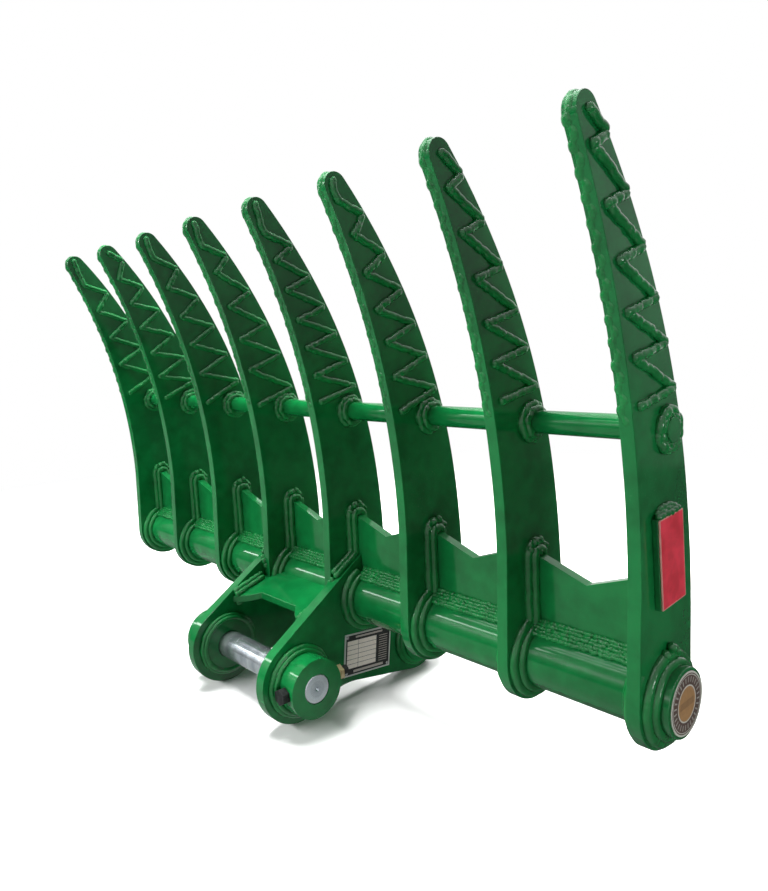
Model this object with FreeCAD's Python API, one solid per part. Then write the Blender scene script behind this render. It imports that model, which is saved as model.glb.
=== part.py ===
import FreeCAD, Part
import math
import os

from FreeCAD import Vector

# Brush rake for an excavator, standing on its hitch with the tines up.
# Millimetres. X runs along the main tube, +Y to the rear, +Z up.
# The origin is the middle of the front pin's axis.

# Tube, and where its axis lies from the front pin's axis
TUBE_DIAMETER = 88.9
TUBE_WALL = 8.0
TUBE_REACH = 158.1
TUBE_RISE = 104.7
TUBE_STUB = 25.0
CAP_THICKNESS = 8.0
DISC_DIAMETER = 80.0
DISC_THICKNESS = 0.8

# Tines
TINE_COUNT = 8
TINE_PITCH = 195.0
TINE_THICKNESS = 18.0
FOOT_WALL = 22.0
FRONT_TURN_Y = -61.0
FRONT_TURN_Z = 150.0
FRONT_RADIUS = 1145.0
BACK_STRAIGHT = 82.0
BACK_LOWER_RADIUS = 1072.0
BACK_JOIN_RISE = 188.0
TIP_Y = -162.5
TIP_Z = 667.0
TIP_RADIUS = 19.5

# Crossbar through the tines
BAR_DIAMETER = 32.0
BAR_HEIGHT = 334.6
BAR_STUB = 10.0
BAR_WELD = 11.0

# Web plates between the tines
WEB_THICKNESS = 16.0
WEB_SIDE_HEIGHT = 152.4
WEB_NOTCH_DEPTH = 30.5
WEB_WELD = 9.0
WEB_FOOT_WELD = 18.0
TUBE_WELD = 14.0

# Hitch ears outside the two middle tines
EAR_THICKNESS = 20.0
FRONT_END_RADIUS = 73.5
REAR_END_RADIUS = 63.0
PIN_CENTRES = 275.6
EAR_TOP_ANGLE = 32.6
EAR_BOTTOM_ANGLE = 11.0
EAR_THROAT_RADIUS = 110.0

# Pins, bosses and their through bolts
PIN_DIAMETER = 50.0
PIN_CHAMFER = 2.0
CENTRE_DRILL_RADIUS = 4.0
CENTRE_DRILL_DEPTH = 5.0
FRONT_BOSS_RADIUS = 50.0
REAR_BOSS_RADIUS = 42.0
INNER_BOSS_LENGTH = 8.0
LONG_BOSS_LENGTH = 48.5
SHORT_BOSS_LENGTH = 16.0
BOSS_WELD = 10.0
INNER_BOSS_WELD = 7.0
BOLT_DIAMETER = 16.0
BOLT_HOLE_DIAMETER = 17.5
BOLT_PAST_NUT = 13.0
BOLT_FROM_END = 22.0
HEAD_FLATS = 24.0
HEAD_HEIGHT = 13.0
NUT_HEIGHT = 16.0
WASHER_DIAMETER = 30.0
WASHER_THICKNESS = 3.0
SPOTFACE_DEPTH = 2.5
SPOTFACE_DIAMETER = 34.0

# Saddle plate between the ears
SADDLE_THICKNESS = 12.0
SADDLE_ANGLE = 17.4
SADDLE_TOP_Z = 14.0
SADDLE_TOP_Y = -42.0
SADDLE_FRONT_Y = -141.0
SADDLE_CORNER_WIDTH = 33.0
SADDLE_CORNER_DEPTH = 17.0
SADDLE_RECESS_WIDTH = 110.0
SADDLE_RECESS_DEPTH = 33.0
SADDLE_WELD = 13.0

# Plates fixed to the outside
DATA_PLATE_WIDTH = 110.0
DATA_PLATE_HEIGHT = 77.0
DATA_PLATE_THICKNESS = 1.5
DATA_PLATE_Y = -6.5
DATA_PLATE_Z = -103.3
DATA_PLATE_TILT = -6.9
RIVET_INSET = 6.0
RIVET_HEAD_RADIUS = 3.0
RIVET_HEAD_HEIGHT = 1.2
RIVET_SHANK_RADIUS = 1.6
RIVET_DEPTH = 6.0
BADGE_WIDTH = 58.0
BADGE_HEIGHT = 112.0
BADGE_THICKNESS = 2.0
BADGE_Y = -3.9
BADGE_Z = 179.2
BADGE_TILT = 4.6
PAD_THICKNESS = 8.0
PAD_MARGIN = 1.0

# Hardfacing beads on the tines
BEAD_WIDTH = 9.0
BEAD_HEIGHT = 6.0
BEAD_ABOVE_BAR = 24.9
BEAD_TURNS = 6
BEAD_TOP_Z = 645.0
BEAD_DROP = 20.0
BEAD_FRONT_INSET = 19.0
BEAD_BACK_INSET = 9.0
EDGE_BEAD_WIDTH = 12.0
EDGE_BEAD_HEIGHT = 4.0
EDGE_BEAD_START_Z = 345.0

# Clearances
WELD_FIT = 0.25
PIN_CLEARANCE = 0.06
NUT_CLEARANCE = 0.08
OVERRUN = 40.0

TUBE_RADIUS = TUBE_DIAMETER / 2
FOOT_RADIUS = TUBE_RADIUS + FOOT_WALL
BAR_RADIUS = BAR_DIAMETER / 2
PIN_RADIUS = PIN_DIAMETER / 2
TINE_HALF = TINE_THICKNESS / 2
OUTER_FACE = (TINE_COUNT - 1) / 2 * TINE_PITCH + TINE_HALF
TUBE_END = OUTER_FACE + TUBE_STUB
EAR_INSIDE = TINE_PITCH / 2 + TINE_HALF
EAR_OUTSIDE = EAR_INSIDE + EAR_THICKNESS
LONG_BOSS_END = EAR_OUTSIDE + LONG_BOSS_LENGTH
BOLT_X = LONG_BOSS_END - BOLT_FROM_END
FLOOR_Z = -FRONT_END_RADIUS

# Pin axes in the side view
FRONT_PIN = Vector(0, 0, 0)
REAR_PIN = Vector(0, PIN_CENTRES, FLOOR_Z + REAR_END_RADIUS)
TUBE = Vector(0, TUBE_REACH, TUBE_RISE)


def at_tube(y, z, x=0.0):
    """Point whose y and z are measured from the tube's axis."""
    return TUBE + Vector(x, y, z)


def unit(angle):
    """Unit vector in the side view, with the angle measured from +Y towards +Z."""
    return Vector(0, math.cos(math.radians(angle)), math.sin(math.radians(angle)))


def arc(start, end, centre, through=None):
    """Arc from start to end round centre. The direction through is needed only near a half turn."""
    radius = (start - centre).Length
    if through is None:
        through = (start + end) * 0.5 - centre
    middle = centre + through * (radius / through.Length)
    return Part.Arc(start, middle, end).toShape()


def line(start, end):
    """Straight edge."""
    return Part.LineSegment(start, end).toShape()


def slab(edges, x_from, x_to):
    """Plate with a side outline, between two X positions."""
    face = Part.Face(Part.Wire(edges))
    face.translate(Vector(x_from, 0, 0))
    return face.extrude(Vector(x_to - x_from, 0, 0))


def polygon_slab(points, x_from, x_to):
    """Plate with a straight-sided side outline."""
    return slab([Part.makePolygon(points + points[:1])], x_from, x_to)


def rod(centre, radius, x_from, x_to):
    """Round bar along X."""
    return Part.makeCylinder(radius, x_to - x_from, Vector(x_from, centre.y, centre.z), Vector(1, 0, 0))


def ring(centre, outer, inner, x_from, x_to):
    """Flat ring or short tube along X."""
    return rod(centre, outer, x_from, x_to).cut(rod(centre, inner, x_from - 1, x_to + 1))


def weld_ring(centre, radius, leg, x_face, side):
    """Fillet weld round a bar where it meets a face at x_face. The bead stands on the given side."""
    profile = Part.makePolygon([
        Vector(x_face, centre.y + radius, centre.z),
        Vector(x_face, centre.y + radius + leg, centre.z),
        Vector(x_face + side * leg, centre.y + radius, centre.z),
        Vector(x_face, centre.y + radius, centre.z)])
    return Part.Face(profile).revolve(centre, Vector(1, 0, 0), 360)


def two_circles(first, first_radius, second, second_radius, side):
    """Point at the given distances from two centres, on one side of the line between them."""
    step = second - first
    gap = step.Length
    along = (gap ** 2 + first_radius ** 2 - second_radius ** 2) / (2 * gap)
    across = math.sqrt(first_radius ** 2 - along ** 2)
    direction = step.normalize()
    normal = Vector(0, -direction.z, direction.y)
    return first + direction * along + normal * (side * across)


def tangent_point(outside, centre, radius, side):
    """Point where a line from an outside point touches a circle."""
    step = outside - centre
    turn = math.acos(radius / step.Length)
    base = math.atan2(step.z, step.y)
    return centre + unit(math.degrees(base + side * turn)) * radius


def tangent_radius(start, outward, centre, radius):
    """Radius of the arc that leaves start square to outward and runs tangent into a smaller circle."""
    step = start - centre
    return (step.dot(step) - radius ** 2) / (2 * (step.dot(outward) - radius))


def union(shapes):
    """One solid out of overlapping ones."""
    return shapes[0].multiFuse(shapes[1:]).removeSplitter()


def as_single(shape):
    """The only solid of a shape."""
    return shape.Solids[0]


# Centres of the arcs that shape a tine
FRONT_TURN = at_tube(FRONT_TURN_Y, FRONT_TURN_Z)
TIP = at_tube(TIP_Y, TIP_Z)
FRONT_CENTRE = two_circles(FRONT_TURN, FRONT_RADIUS, TIP, FRONT_RADIUS + TIP_RADIUS, 1)
BACK_TURN = at_tube(FOOT_RADIUS, BACK_STRAIGHT)
BACK_LOWER_CENTRE = BACK_TURN - Vector(0, BACK_LOWER_RADIUS, 0)
BACK_JOIN_DIRECTION = unit(math.degrees(math.asin(BACK_JOIN_RISE / BACK_LOWER_RADIUS)))
BACK_JOIN = BACK_LOWER_CENTRE + BACK_JOIN_DIRECTION * BACK_LOWER_RADIUS
BACK_UPPER_RADIUS = tangent_radius(BACK_JOIN, BACK_JOIN_DIRECTION, TIP, TIP_RADIUS)
BACK_UPPER_CENTRE = BACK_JOIN - BACK_JOIN_DIRECTION * BACK_UPPER_RADIUS


def towards(start, end, distance):
    """Point at a distance from start, on the line to end."""
    return start + (end - start) * (distance / (end - start).Length)


TIP_FRONT = towards(TIP, FRONT_CENTRE, TIP_RADIUS)
TIP_BACK = towards(TIP, BACK_UPPER_CENTRE, -TIP_RADIUS)
FOOT_FRONT = tangent_point(FRONT_TURN, TUBE, FOOT_RADIUS, 1)


def tine_x(index):
    """Middle of a tine, counted from 0 at the left."""
    return (index - (TINE_COUNT - 1) / 2) * TINE_PITCH


def tine(index):
    """Curved plate with a round foot, bored for the tube and the crossbar."""
    x_from = tine_x(index) - TINE_HALF
    x_to = tine_x(index) + TINE_HALF
    foot_back = at_tube(FOOT_RADIUS, 0)
    edges = [
        line(FOOT_FRONT, FRONT_TURN),
        arc(FRONT_TURN, TIP_FRONT, FRONT_CENTRE),
        arc(TIP_FRONT, TIP_BACK, TIP),
        arc(TIP_BACK, BACK_JOIN, BACK_UPPER_CENTRE),
        arc(BACK_JOIN, BACK_TURN, BACK_LOWER_CENTRE),
        line(BACK_TURN, foot_back),
        arc(foot_back, FOOT_FRONT, TUBE, Vector(0, 0, -1))]
    plate = slab(edges, x_from, x_to)
    tube_hole = rod(TUBE, TUBE_RADIUS + WELD_FIT, x_from - 1, x_to + 1)
    bar_hole = rod(at_tube(0, BAR_HEIGHT), BAR_RADIUS + WELD_FIT, x_from - 1, x_to + 1)
    return as_single(plate.cut([tube_hole, bar_hole]))


def main_tube():
    """Round tube through every tine."""
    return ring(TUBE, TUBE_RADIUS, TUBE_RADIUS - TUBE_WALL, -TUBE_END, TUBE_END)


def tube_cap(side):
    """Plug plate in one end of the tube, flush with it."""
    inner = side * (TUBE_END - CAP_THICKNESS)
    outer = side * TUBE_END
    return rod(TUBE, TUBE_RADIUS - TUBE_WALL - WELD_FIT, min(inner, outer), max(inner, outer))


def crossbar():
    """Round bar through every tine, standing out of the end ones."""
    end = OUTER_FACE + BAR_STUB
    return rod(at_tube(0, BAR_HEIGHT), BAR_RADIUS, -end, end)


def web_plate(index):
    """Upright plate on the tube between two tines, with a notched top edge."""
    left = tine_x(index) + TINE_HALF + WELD_FIT
    right = tine_x(index + 1) - TINE_HALF - WELD_FIT
    front = TUBE.y - WEB_THICKNESS / 2
    top = TUBE.z + WEB_SIDE_HEIGHT
    outline = Part.makePolygon([
        Vector(left, front, TUBE.z),
        Vector(left, front, top),
        Vector((left + right) / 2, front, top - WEB_NOTCH_DEPTH),
        Vector(right, front, top),
        Vector(right, front, TUBE.z),
        Vector(left, front, TUBE.z)])
    plate = Part.Face(outline).extrude(Vector(0, WEB_THICKNESS, 0))
    return as_single(plate.cut(rod(TUBE, TUBE_RADIUS, left - 1, right + 1)))


def common_tangent(first, first_radius, second, second_radius):
    """Touch points of the line that lies to the left of two circles, going from first to second."""
    step = second - first
    base = math.degrees(math.atan2(step.z, step.y))
    lean = math.degrees(math.asin((first_radius - second_radius) / step.Length))
    normal = unit(base + 90 - lean)
    return first + normal * first_radius, second + normal * second_radius


def throat_centre():
    """Centre of the fillet between the ear's bottom edge and its front end."""
    down = unit(-90 - EAR_BOTTOM_ANGLE)
    along = unit(180 - EAR_BOTTOM_ANGLE)
    base = REAR_PIN + down * (REAR_END_RADIUS + EAR_THROAT_RADIUS)
    reach = FRONT_END_RADIUS + EAR_THROAT_RADIUS
    offset = base - FRONT_PIN
    half_b = offset.dot(along)
    root = math.sqrt(half_b ** 2 - offset.dot(offset) + reach ** 2)
    return base - along * (half_b + root)


def ear_front_touch():
    """Point where the ear's rising top edge leaves its round front end."""
    return FRONT_PIN + unit(EAR_TOP_ANGLE + 90) * FRONT_END_RADIUS


def ear_crest():
    """Height where the ear's rising top edge meets the web plate."""
    start = ear_front_touch()
    run = TUBE.y - WEB_THICKNESS / 2 - start.y
    return start.z + run * math.tan(math.radians(EAR_TOP_ANGLE))


def ear_blank(x_from, x_to):
    """Outline of a hitch ear as a plate, before holes."""
    front_touch = ear_front_touch()
    web_front = TUBE.y - WEB_THICKNESS / 2
    crest = Vector(0, web_front, ear_crest())
    crest_back = Vector(0, TUBE.y + WEB_THICKNESS / 2, crest.z)
    ring_top = tangent_point(crest_back, TUBE, FOOT_RADIUS, -1)
    tube_touch, rear_touch = common_tangent(TUBE, FOOT_RADIUS, REAR_PIN, REAR_END_RADIUS)
    throat = throat_centre()
    down = unit(-90 - EAR_BOTTOM_ANGLE)
    bottom_rear = REAR_PIN + down * REAR_END_RADIUS
    bottom_front = throat - down * EAR_THROAT_RADIUS
    front_end = towards(FRONT_PIN, throat, FRONT_END_RADIUS)
    edges = [
        line(front_touch, crest),
        line(crest, crest_back),
        line(crest_back, ring_top),
        arc(ring_top, tube_touch, TUBE),
        line(tube_touch, rear_touch),
        arc(rear_touch, bottom_rear, REAR_PIN),
        line(bottom_rear, bottom_front),
        arc(bottom_front, front_end, throat),
        arc(front_end, front_touch, FRONT_PIN, Vector(0, -1, 0))]
    return slab(edges, x_from, x_to)


def span(side, near, far):
    """Two X positions on one side of the middle, in rising order."""
    return (near, far) if side > 0 else (-far, -near)


def plate_holes():
    """Rivet holes for the data plate."""
    return [rivet_shank(y, z) for y, z in rivet_places()]


def ear(side):
    """Hitch ear against the outer face of a middle tine, slotted for the web plate."""
    x_from, x_to = span(side, EAR_INSIDE, EAR_OUTSIDE)
    blank = ear_blank(x_from, x_to)
    cuts = [rod(TUBE, TUBE_RADIUS + WELD_FIT, x_from - 1, x_to + 1),
            rod(FRONT_PIN, PIN_RADIUS + PIN_CLEARANCE, x_from - 1, x_to + 1),
            rod(REAR_PIN, PIN_RADIUS + PIN_CLEARANCE, x_from - 1, x_to + 1)]
    slot = Part.makeBox(
        x_to - x_from + 2, WEB_THICKNESS + 2 * WELD_FIT, FOOT_RADIUS + OVERRUN,
        Vector(x_from - 1, TUBE.y - WEB_THICKNESS / 2 - WELD_FIT, TUBE.z))
    cuts.append(slot)
    if side > 0:
        cuts += plate_holes()
    return as_single(blank.cut(cuts))


def boss(centre, radius, x_from, x_to):
    """Boss ring round a pin."""
    return ring(centre, radius, PIN_RADIUS + PIN_CLEARANCE, x_from, x_to)


def drilled_boss(centre, radius, side):
    """Long outer boss with a cross hole for the bolt, spotfaced at both ends of the hole."""
    x_from, x_to = span(side, EAR_OUTSIDE, LONG_BOSS_END)
    x = side * BOLT_X
    blank = boss(centre, radius, x_from, x_to)
    hole = Part.makeCylinder(
        BOLT_HOLE_DIAMETER / 2, 2 * radius + 2, Vector(x, centre.y - radius - 1, centre.z), Vector(0, 1, 0))
    faces = [
        Part.makeCylinder(
            SPOTFACE_DIAMETER / 2, OVERRUN,
            Vector(x, centre.y + end * (radius - SPOTFACE_DEPTH), centre.z), Vector(0, end, 0))
        for end in (-1, 1)]
    return as_single(blank.cut([hole] + faces))


def pin(centre, x_from, x_to, bolt_at):
    """Hitch pin with chamfered, centre-drilled ends and a cross hole for the bolt."""
    chamfer = PIN_CHAMFER
    outline = Part.makePolygon([
        centre + Vector(x_from, 0, 0),
        centre + Vector(x_from, PIN_RADIUS - chamfer, 0),
        centre + Vector(x_from + chamfer, PIN_RADIUS, 0),
        centre + Vector(x_to - chamfer, PIN_RADIUS, 0),
        centre + Vector(x_to, PIN_RADIUS - chamfer, 0),
        centre + Vector(x_to, 0, 0),
        centre + Vector(x_from, 0, 0)])
    body = Part.Face(outline).revolve(centre, Vector(1, 0, 0), 360)
    hole = Part.makeCylinder(
        BOLT_HOLE_DIAMETER / 2, PIN_DIAMETER + 2, centre + Vector(bolt_at, -PIN_RADIUS - 1, 0),
        Vector(0, 1, 0))
    drills = [
        Part.makeCone(
            CENTRE_DRILL_RADIUS, 0, CENTRE_DRILL_DEPTH, centre + Vector(x, 0, 0), Vector(inward, 0, 0))
        for x, inward in ((x_from, 1), (x_to, -1))]
    return as_single(body.cut([hole] + drills))


def hexagon(flats, height, centre):
    """Hexagonal prism along +Y."""
    corner = flats / math.sqrt(3)
    turns = [math.radians(60 * k + 30) for k in range(6)]
    points = [centre + Vector(corner * math.cos(t), 0, corner * math.sin(t)) for t in turns]
    return Part.Face(Part.makePolygon(points + points[:1])).extrude(Vector(0, height, 0))


def seat(radius):
    """Distance of a spotface from the pin's axis."""
    return radius - SPOTFACE_DEPTH


def through_bolt(centre, radius, x):
    """Hex bolt whose head seats on the front spotface."""
    start = centre + Vector(x, -seat(radius), 0)
    shank_end = seat(radius) + WASHER_THICKNESS + NUT_HEIGHT + BOLT_PAST_NUT
    shank = Part.makeCylinder(BOLT_DIAMETER / 2, seat(radius) + shank_end, start, Vector(0, 1, 0))
    head = hexagon(HEAD_FLATS, HEAD_HEIGHT, start - Vector(0, HEAD_HEIGHT, 0))
    return as_single(union([head, shank]))


def bolt_washer(centre, radius, x):
    """Washer on the rear spotface."""
    start = centre + Vector(x, seat(radius), 0)
    disc = Part.makeCylinder(WASHER_DIAMETER / 2, WASHER_THICKNESS, start, Vector(0, 1, 0))
    hole = Part.makeCylinder(
        BOLT_DIAMETER / 2 + NUT_CLEARANCE, WASHER_THICKNESS + 2, start - Vector(0, 1, 0), Vector(0, 1, 0))
    return disc.cut(hole)


def bolt_nut(centre, radius, x):
    """Hex nut on the washer."""
    start = centre + Vector(x, seat(radius) + WASHER_THICKNESS, 0)
    body = hexagon(HEAD_FLATS, NUT_HEIGHT, start)
    hole = Part.makeCylinder(
        BOLT_DIAMETER / 2 + NUT_CLEARANCE, NUT_HEIGHT + 2, start - Vector(0, 1, 0), Vector(0, 1, 0))
    return body.cut(hole)


def saddle_top(y):
    """Height of the saddle plate's top face at a distance from the tube's axis."""
    return SADDLE_TOP_Z + (y - SADDLE_TOP_Y) * math.tan(math.radians(SADDLE_ANGLE))


def saddle_plate():
    """Sloping plate between the ears with a cut-back front edge, notched round the tine feet."""
    side = EAR_INSIDE - WELD_FIT
    corner = SADDLE_FRONT_Y + SADDLE_CORNER_DEPTH
    recess = SADDLE_FRONT_Y + SADDLE_RECESS_DEPTH
    half = SADDLE_RECESS_WIDTH / 2
    plan = [(-side, SADDLE_FRONT_Y), (-side + SADDLE_CORNER_WIDTH, corner), (-half, recess),
            (half, recess), (side - SADDLE_CORNER_WIDTH, corner), (side, SADDLE_FRONT_Y),
            (side, 0), (-side, 0)]
    points = [at_tube(y, -TUBE_REACH, x) for x, y in plan]
    column = Part.Face(Part.makePolygon(points + points[:1])).extrude(Vector(0, 0, 2 * TUBE_REACH))
    drop = SADDLE_THICKNESS / math.cos(math.radians(SADDLE_ANGLE))
    front = SADDLE_FRONT_Y - OVERRUN
    layer = polygon_slab([
        at_tube(front, saddle_top(front)),
        at_tube(0, saddle_top(0)),
        at_tube(0, saddle_top(0) - drop),
        at_tube(front, saddle_top(front) - drop)], -side, side)
    cuts = [rod(TUBE, TUBE_RADIUS, -side - 1, side + 1)]
    for end in (-1, 1):
        x_from, x_to = span(end, EAR_INSIDE - TINE_THICKNESS - WELD_FIT, EAR_INSIDE + 1)
        cuts.append(rod(TUBE, FOOT_RADIUS + WELD_FIT, x_from, x_to))
    return as_single(column.common(layer).cut(cuts))


def tilted(shape, centre, angle):
    """Shape turned in the side view about a centre."""
    shape.rotate(centre, Vector(1, 0, 0), angle)
    return shape


def data_plate_centre():
    """Middle of the data plate."""
    return at_tube(DATA_PLATE_Y, DATA_PLATE_Z)


def rivet_places():
    """Side-view places of the rivets, from the tube's axis."""
    centre = data_plate_centre()
    across = unit(DATA_PLATE_TILT)
    up = unit(DATA_PLATE_TILT + 90)
    width = DATA_PLATE_WIDTH / 2 - RIVET_INSET
    height = DATA_PLATE_HEIGHT / 2 - RIVET_INSET
    places = [centre + across * (width * a) + up * (height * b) for a in (-1, 1) for b in (-1, 1)]
    return [(place.y, place.z) for place in places]


def rivet_shank(y, z):
    """Round shank from inside the ear to the plate's outer face."""
    x_from = EAR_OUTSIDE - RIVET_DEPTH
    return rod(Vector(0, y, z), RIVET_SHANK_RADIUS, x_from, EAR_OUTSIDE + DATA_PLATE_THICKNESS)


def data_plate():
    """Thin plate on the right ear, drilled for its rivets."""
    centre = data_plate_centre()
    blank = Part.makeBox(
        DATA_PLATE_THICKNESS, DATA_PLATE_WIDTH, DATA_PLATE_HEIGHT,
        Vector(EAR_OUTSIDE, centre.y - DATA_PLATE_WIDTH / 2, centre.z - DATA_PLATE_HEIGHT / 2))
    return as_single(tilted(blank, centre, DATA_PLATE_TILT).cut(plate_holes()))


def rivets():
    """Domed rivets at the data plate's corners."""
    face = EAR_OUTSIDE + DATA_PLATE_THICKNESS
    dome = (RIVET_HEAD_RADIUS ** 2 + RIVET_HEAD_HEIGHT ** 2) / (2 * RIVET_HEAD_HEIGHT)
    solids = []
    for y, z in rivet_places():
        ball = Part.makeSphere(dome, Vector(face + RIVET_HEAD_HEIGHT - dome, y, z))
        head = ball.common(rod(Vector(0, y, z), RIVET_HEAD_RADIUS, face, face + RIVET_HEAD_RADIUS))
        solids.append(as_single(union([head, rivet_shank(y, z)])))
    return Part.makeCompound(solids)


def badge_block(width, height, x_from, thickness):
    """Upright block on the right end tine, leaning with it."""
    centre = at_tube(BADGE_Y, BADGE_Z)
    corner = Vector(x_from, centre.y - width / 2, centre.z - height / 2)
    return tilted(Part.makeBox(thickness, width, height, corner), centre, BADGE_TILT)


def badge_pad():
    """Welded pad under the badge."""
    return badge_block(
        BADGE_WIDTH + 2 * PAD_MARGIN, BADGE_HEIGHT + 2 * PAD_MARGIN, OUTER_FACE, PAD_THICKNESS)


def badge_plate():
    """Bare plate on the pad."""
    return badge_block(BADGE_WIDTH, BADGE_HEIGHT, OUTER_FACE + PAD_THICKNESS, BADGE_THICKNESS)


def end_disc():
    """Thin disc on the right end of the tube."""
    return rod(TUBE, DISC_DIAMETER / 2, TUBE_END, TUBE_END + DISC_THICKNESS)


def edge_y(centre, radius, z):
    """Side-view y of a tine's edge at a height."""
    return centre.y + math.sqrt(radius ** 2 - (z - centre.z) ** 2)


def front_vertex(z):
    """Turn of the zigzag bead near a tine's front edge."""
    return Vector(0, edge_y(FRONT_CENTRE, FRONT_RADIUS, z) + BEAD_FRONT_INSET, z)


def back_vertex(z):
    """Turn of the zigzag bead near a tine's back edge."""
    return Vector(0, edge_y(BACK_UPPER_CENTRE, BACK_UPPER_RADIUS, z) - BEAD_BACK_INSET, z)


def bead_points():
    """Turns of the zigzag bead, from the top down. The last one is just above the crossbar."""
    top = TUBE.z + BEAD_TOP_Z
    spacing = (BEAD_TOP_Z - BEAD_DROP - BAR_HEIGHT - BEAD_ABOVE_BAR) / (BEAD_TURNS - 1)
    points = [front_vertex(top + BEAD_DROP)]
    for turn in range(BEAD_TURNS):
        z = top - turn * spacing
        points.append(back_vertex(z))
        points.append(front_vertex(z - BEAD_DROP))
    return points


def zigzag(x_from, x_to):
    """Flat zigzag bead with round corners."""
    points = bead_points()
    pieces = [rod(point, BEAD_WIDTH / 2, x_from, x_to) for point in points]
    for start, end in zip(points, points[1:]):
        side = (end - start).cross(Vector(1, 0, 0)).normalize() * (BEAD_WIDTH / 2)
        pieces.append(polygon_slab([start + side, end + side, end - side, start - side], x_from, x_to))
    return as_single(union(pieces))


def edge_bead(x_from, x_to):
    """Bead along the front edge and over the tip."""
    start_z = TUBE.z + EDGE_BEAD_START_Z
    start = Vector(0, edge_y(FRONT_CENTRE, FRONT_RADIUS, start_z), start_z)
    outer_start = towards(FRONT_CENTRE, start, FRONT_RADIUS - EDGE_BEAD_HEIGHT)
    outer_tip = towards(TIP, FRONT_CENTRE, TIP_RADIUS + EDGE_BEAD_HEIGHT)
    outer_back = towards(TIP, BACK_UPPER_CENTRE, -TIP_RADIUS - EDGE_BEAD_HEIGHT)
    edges = [
        arc(start, TIP_FRONT, FRONT_CENTRE),
        arc(TIP_FRONT, TIP_BACK, TIP),
        line(TIP_BACK, outer_back),
        arc(outer_back, outer_tip, TIP),
        arc(outer_tip, outer_start, FRONT_CENTRE),
        line(outer_start, start)]
    return as_single(slab(edges, x_from, x_to))


def hardfacing(index):
    """Beads on one tine: a zigzag on each face and one along the front edge."""
    x = tine_x(index)
    return Part.makeCompound([
        zigzag(x - TINE_HALF - BEAD_HEIGHT, x - TINE_HALF),
        zigzag(x + TINE_HALF, x + TINE_HALF + BEAD_HEIGHT),
        edge_bead(x - EDGE_BEAD_WIDTH / 2, x + EDGE_BEAD_WIDTH / 2)])


def crossbar_welds():
    """Weld rings where the crossbar meets each tine face."""
    centre = at_tube(0, BAR_HEIGHT)
    rings = []
    for index in range(TINE_COUNT):
        for side in (-1, 1):
            outside = index == (0 if side < 0 else TINE_COUNT - 1)
            leg = min(BAR_WELD, BAR_STUB) if outside else BAR_WELD
            rings.append(weld_ring(centre, BAR_RADIUS, leg, tine_x(index) + side * TINE_HALF, side))
    return Part.makeCompound(rings)


def tube_faces():
    """X position and outward side of each plate face that the tube is welded to."""
    faces = []
    for index in range(TINE_COUNT):
        for side in (-1, 1):
            x = tine_x(index) + side * TINE_HALF
            if beside_ear(x) and x * side > 0:
                x = side * EAR_OUTSIDE
            faces.append((x, side))
    return faces


def tube_welds():
    """Weld rings where the tube meets the tines and ears, broken where another plate stands on it."""
    web = Part.makeBox(
        2 * TUBE_END, WEB_THICKNESS, FOOT_RADIUS + OVERRUN,
        Vector(-TUBE_END, TUBE.y - WEB_THICKNESS / 2, TUBE.z))
    saddle = saddle_plate()
    rings = []
    for x, side in tube_faces():
        bead = weld_ring(TUBE, TUBE_RADIUS, TUBE_WELD, x, side)
        if abs(x) < OUTER_FACE:
            bead = as_single(bead.cut([web, saddle]))
        rings.append(bead)
    return Part.makeCompound(rings)


def beside_ear(x):
    """Whether a tine face is one that an ear stands against."""
    return abs(abs(x) - EAR_INSIDE) < WELD_FIT


def web_welds():
    """Beads where each web plate meets the tines and the tube."""
    beads = []
    for index in range(TINE_COUNT - 1):
        left = tine_x(index) + TINE_HALF
        right = tine_x(index + 1) - TINE_HALF
        for x, side in ((left, 1), (right, -1)):
            beads += [web_bead(x, side, face) for face in (-1, 1)]
        if beside_ear(left) and left > 0:
            left += EAR_THICKNESS
        if beside_ear(right) and right < 0:
            right -= EAR_THICKNESS
        beads.append(web_foot_bead(left + TUBE_WELD, right - TUBE_WELD))
    return Part.makeCompound(beads)


def web_bead(x, side, face):
    """Fillet bead up one corner between a tine and a web plate, above the ear where there is one."""
    y = TUBE.y + face * WEB_THICKNESS / 2
    covered = beside_ear(x) and x * side > 0
    foot = ear_crest() if covered else TUBE.z + TUBE_RADIUS + TUBE_WELD
    top = TUBE.z + WEB_SIDE_HEIGHT - 2 * WEB_NOTCH_DEPTH * WEB_WELD / TINE_PITCH
    outline = [
        Vector(x, y, foot),
        Vector(x + side * WEB_WELD, y, foot),
        Vector(x, y + face * WEB_WELD, foot)]
    return Part.Face(Part.makePolygon(outline + outline[:1])).extrude(Vector(0, 0, top - foot))


def web_foot_bead(x_from, x_to):
    """Bead along the front of a web plate's foot, on the tube."""
    front = -WEB_THICKNESS / 2
    prism = polygon_slab([
        at_tube(front, 0),
        at_tube(front, TUBE_RADIUS + WEB_FOOT_WELD),
        at_tube(front - WEB_FOOT_WELD, TUBE_RADIUS - WEB_WELD),
        at_tube(front - WEB_FOOT_WELD, 0)], x_from, x_to)
    return as_single(prism.cut(rod(TUBE, TUBE_RADIUS, x_from - 1, x_to + 1)))


def saddle_bead(side):
    """Fillet bead where the saddle plate meets an ear, in front of the tine's foot."""
    x = side * EAR_INSIDE
    start_y = -FOOT_RADIUS - SADDLE_WELD / 4
    start = at_tube(start_y, saddle_top(start_y), x)
    end = at_tube(SADDLE_FRONT_Y, saddle_top(SADDLE_FRONT_Y), x)
    up = unit(90 + SADDLE_ANGLE)
    profile = [start, start + up * SADDLE_WELD, start - Vector(side * SADDLE_WELD, 0, 0)]
    bead = Part.Face(Part.makePolygon(profile + profile[:1])).extrude(end - start)
    x_from, x_to = span(side, EAR_INSIDE - SADDLE_WELD, EAR_INSIDE)
    return as_single(bead.common(ear_blank(x_from, x_to)))


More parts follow.
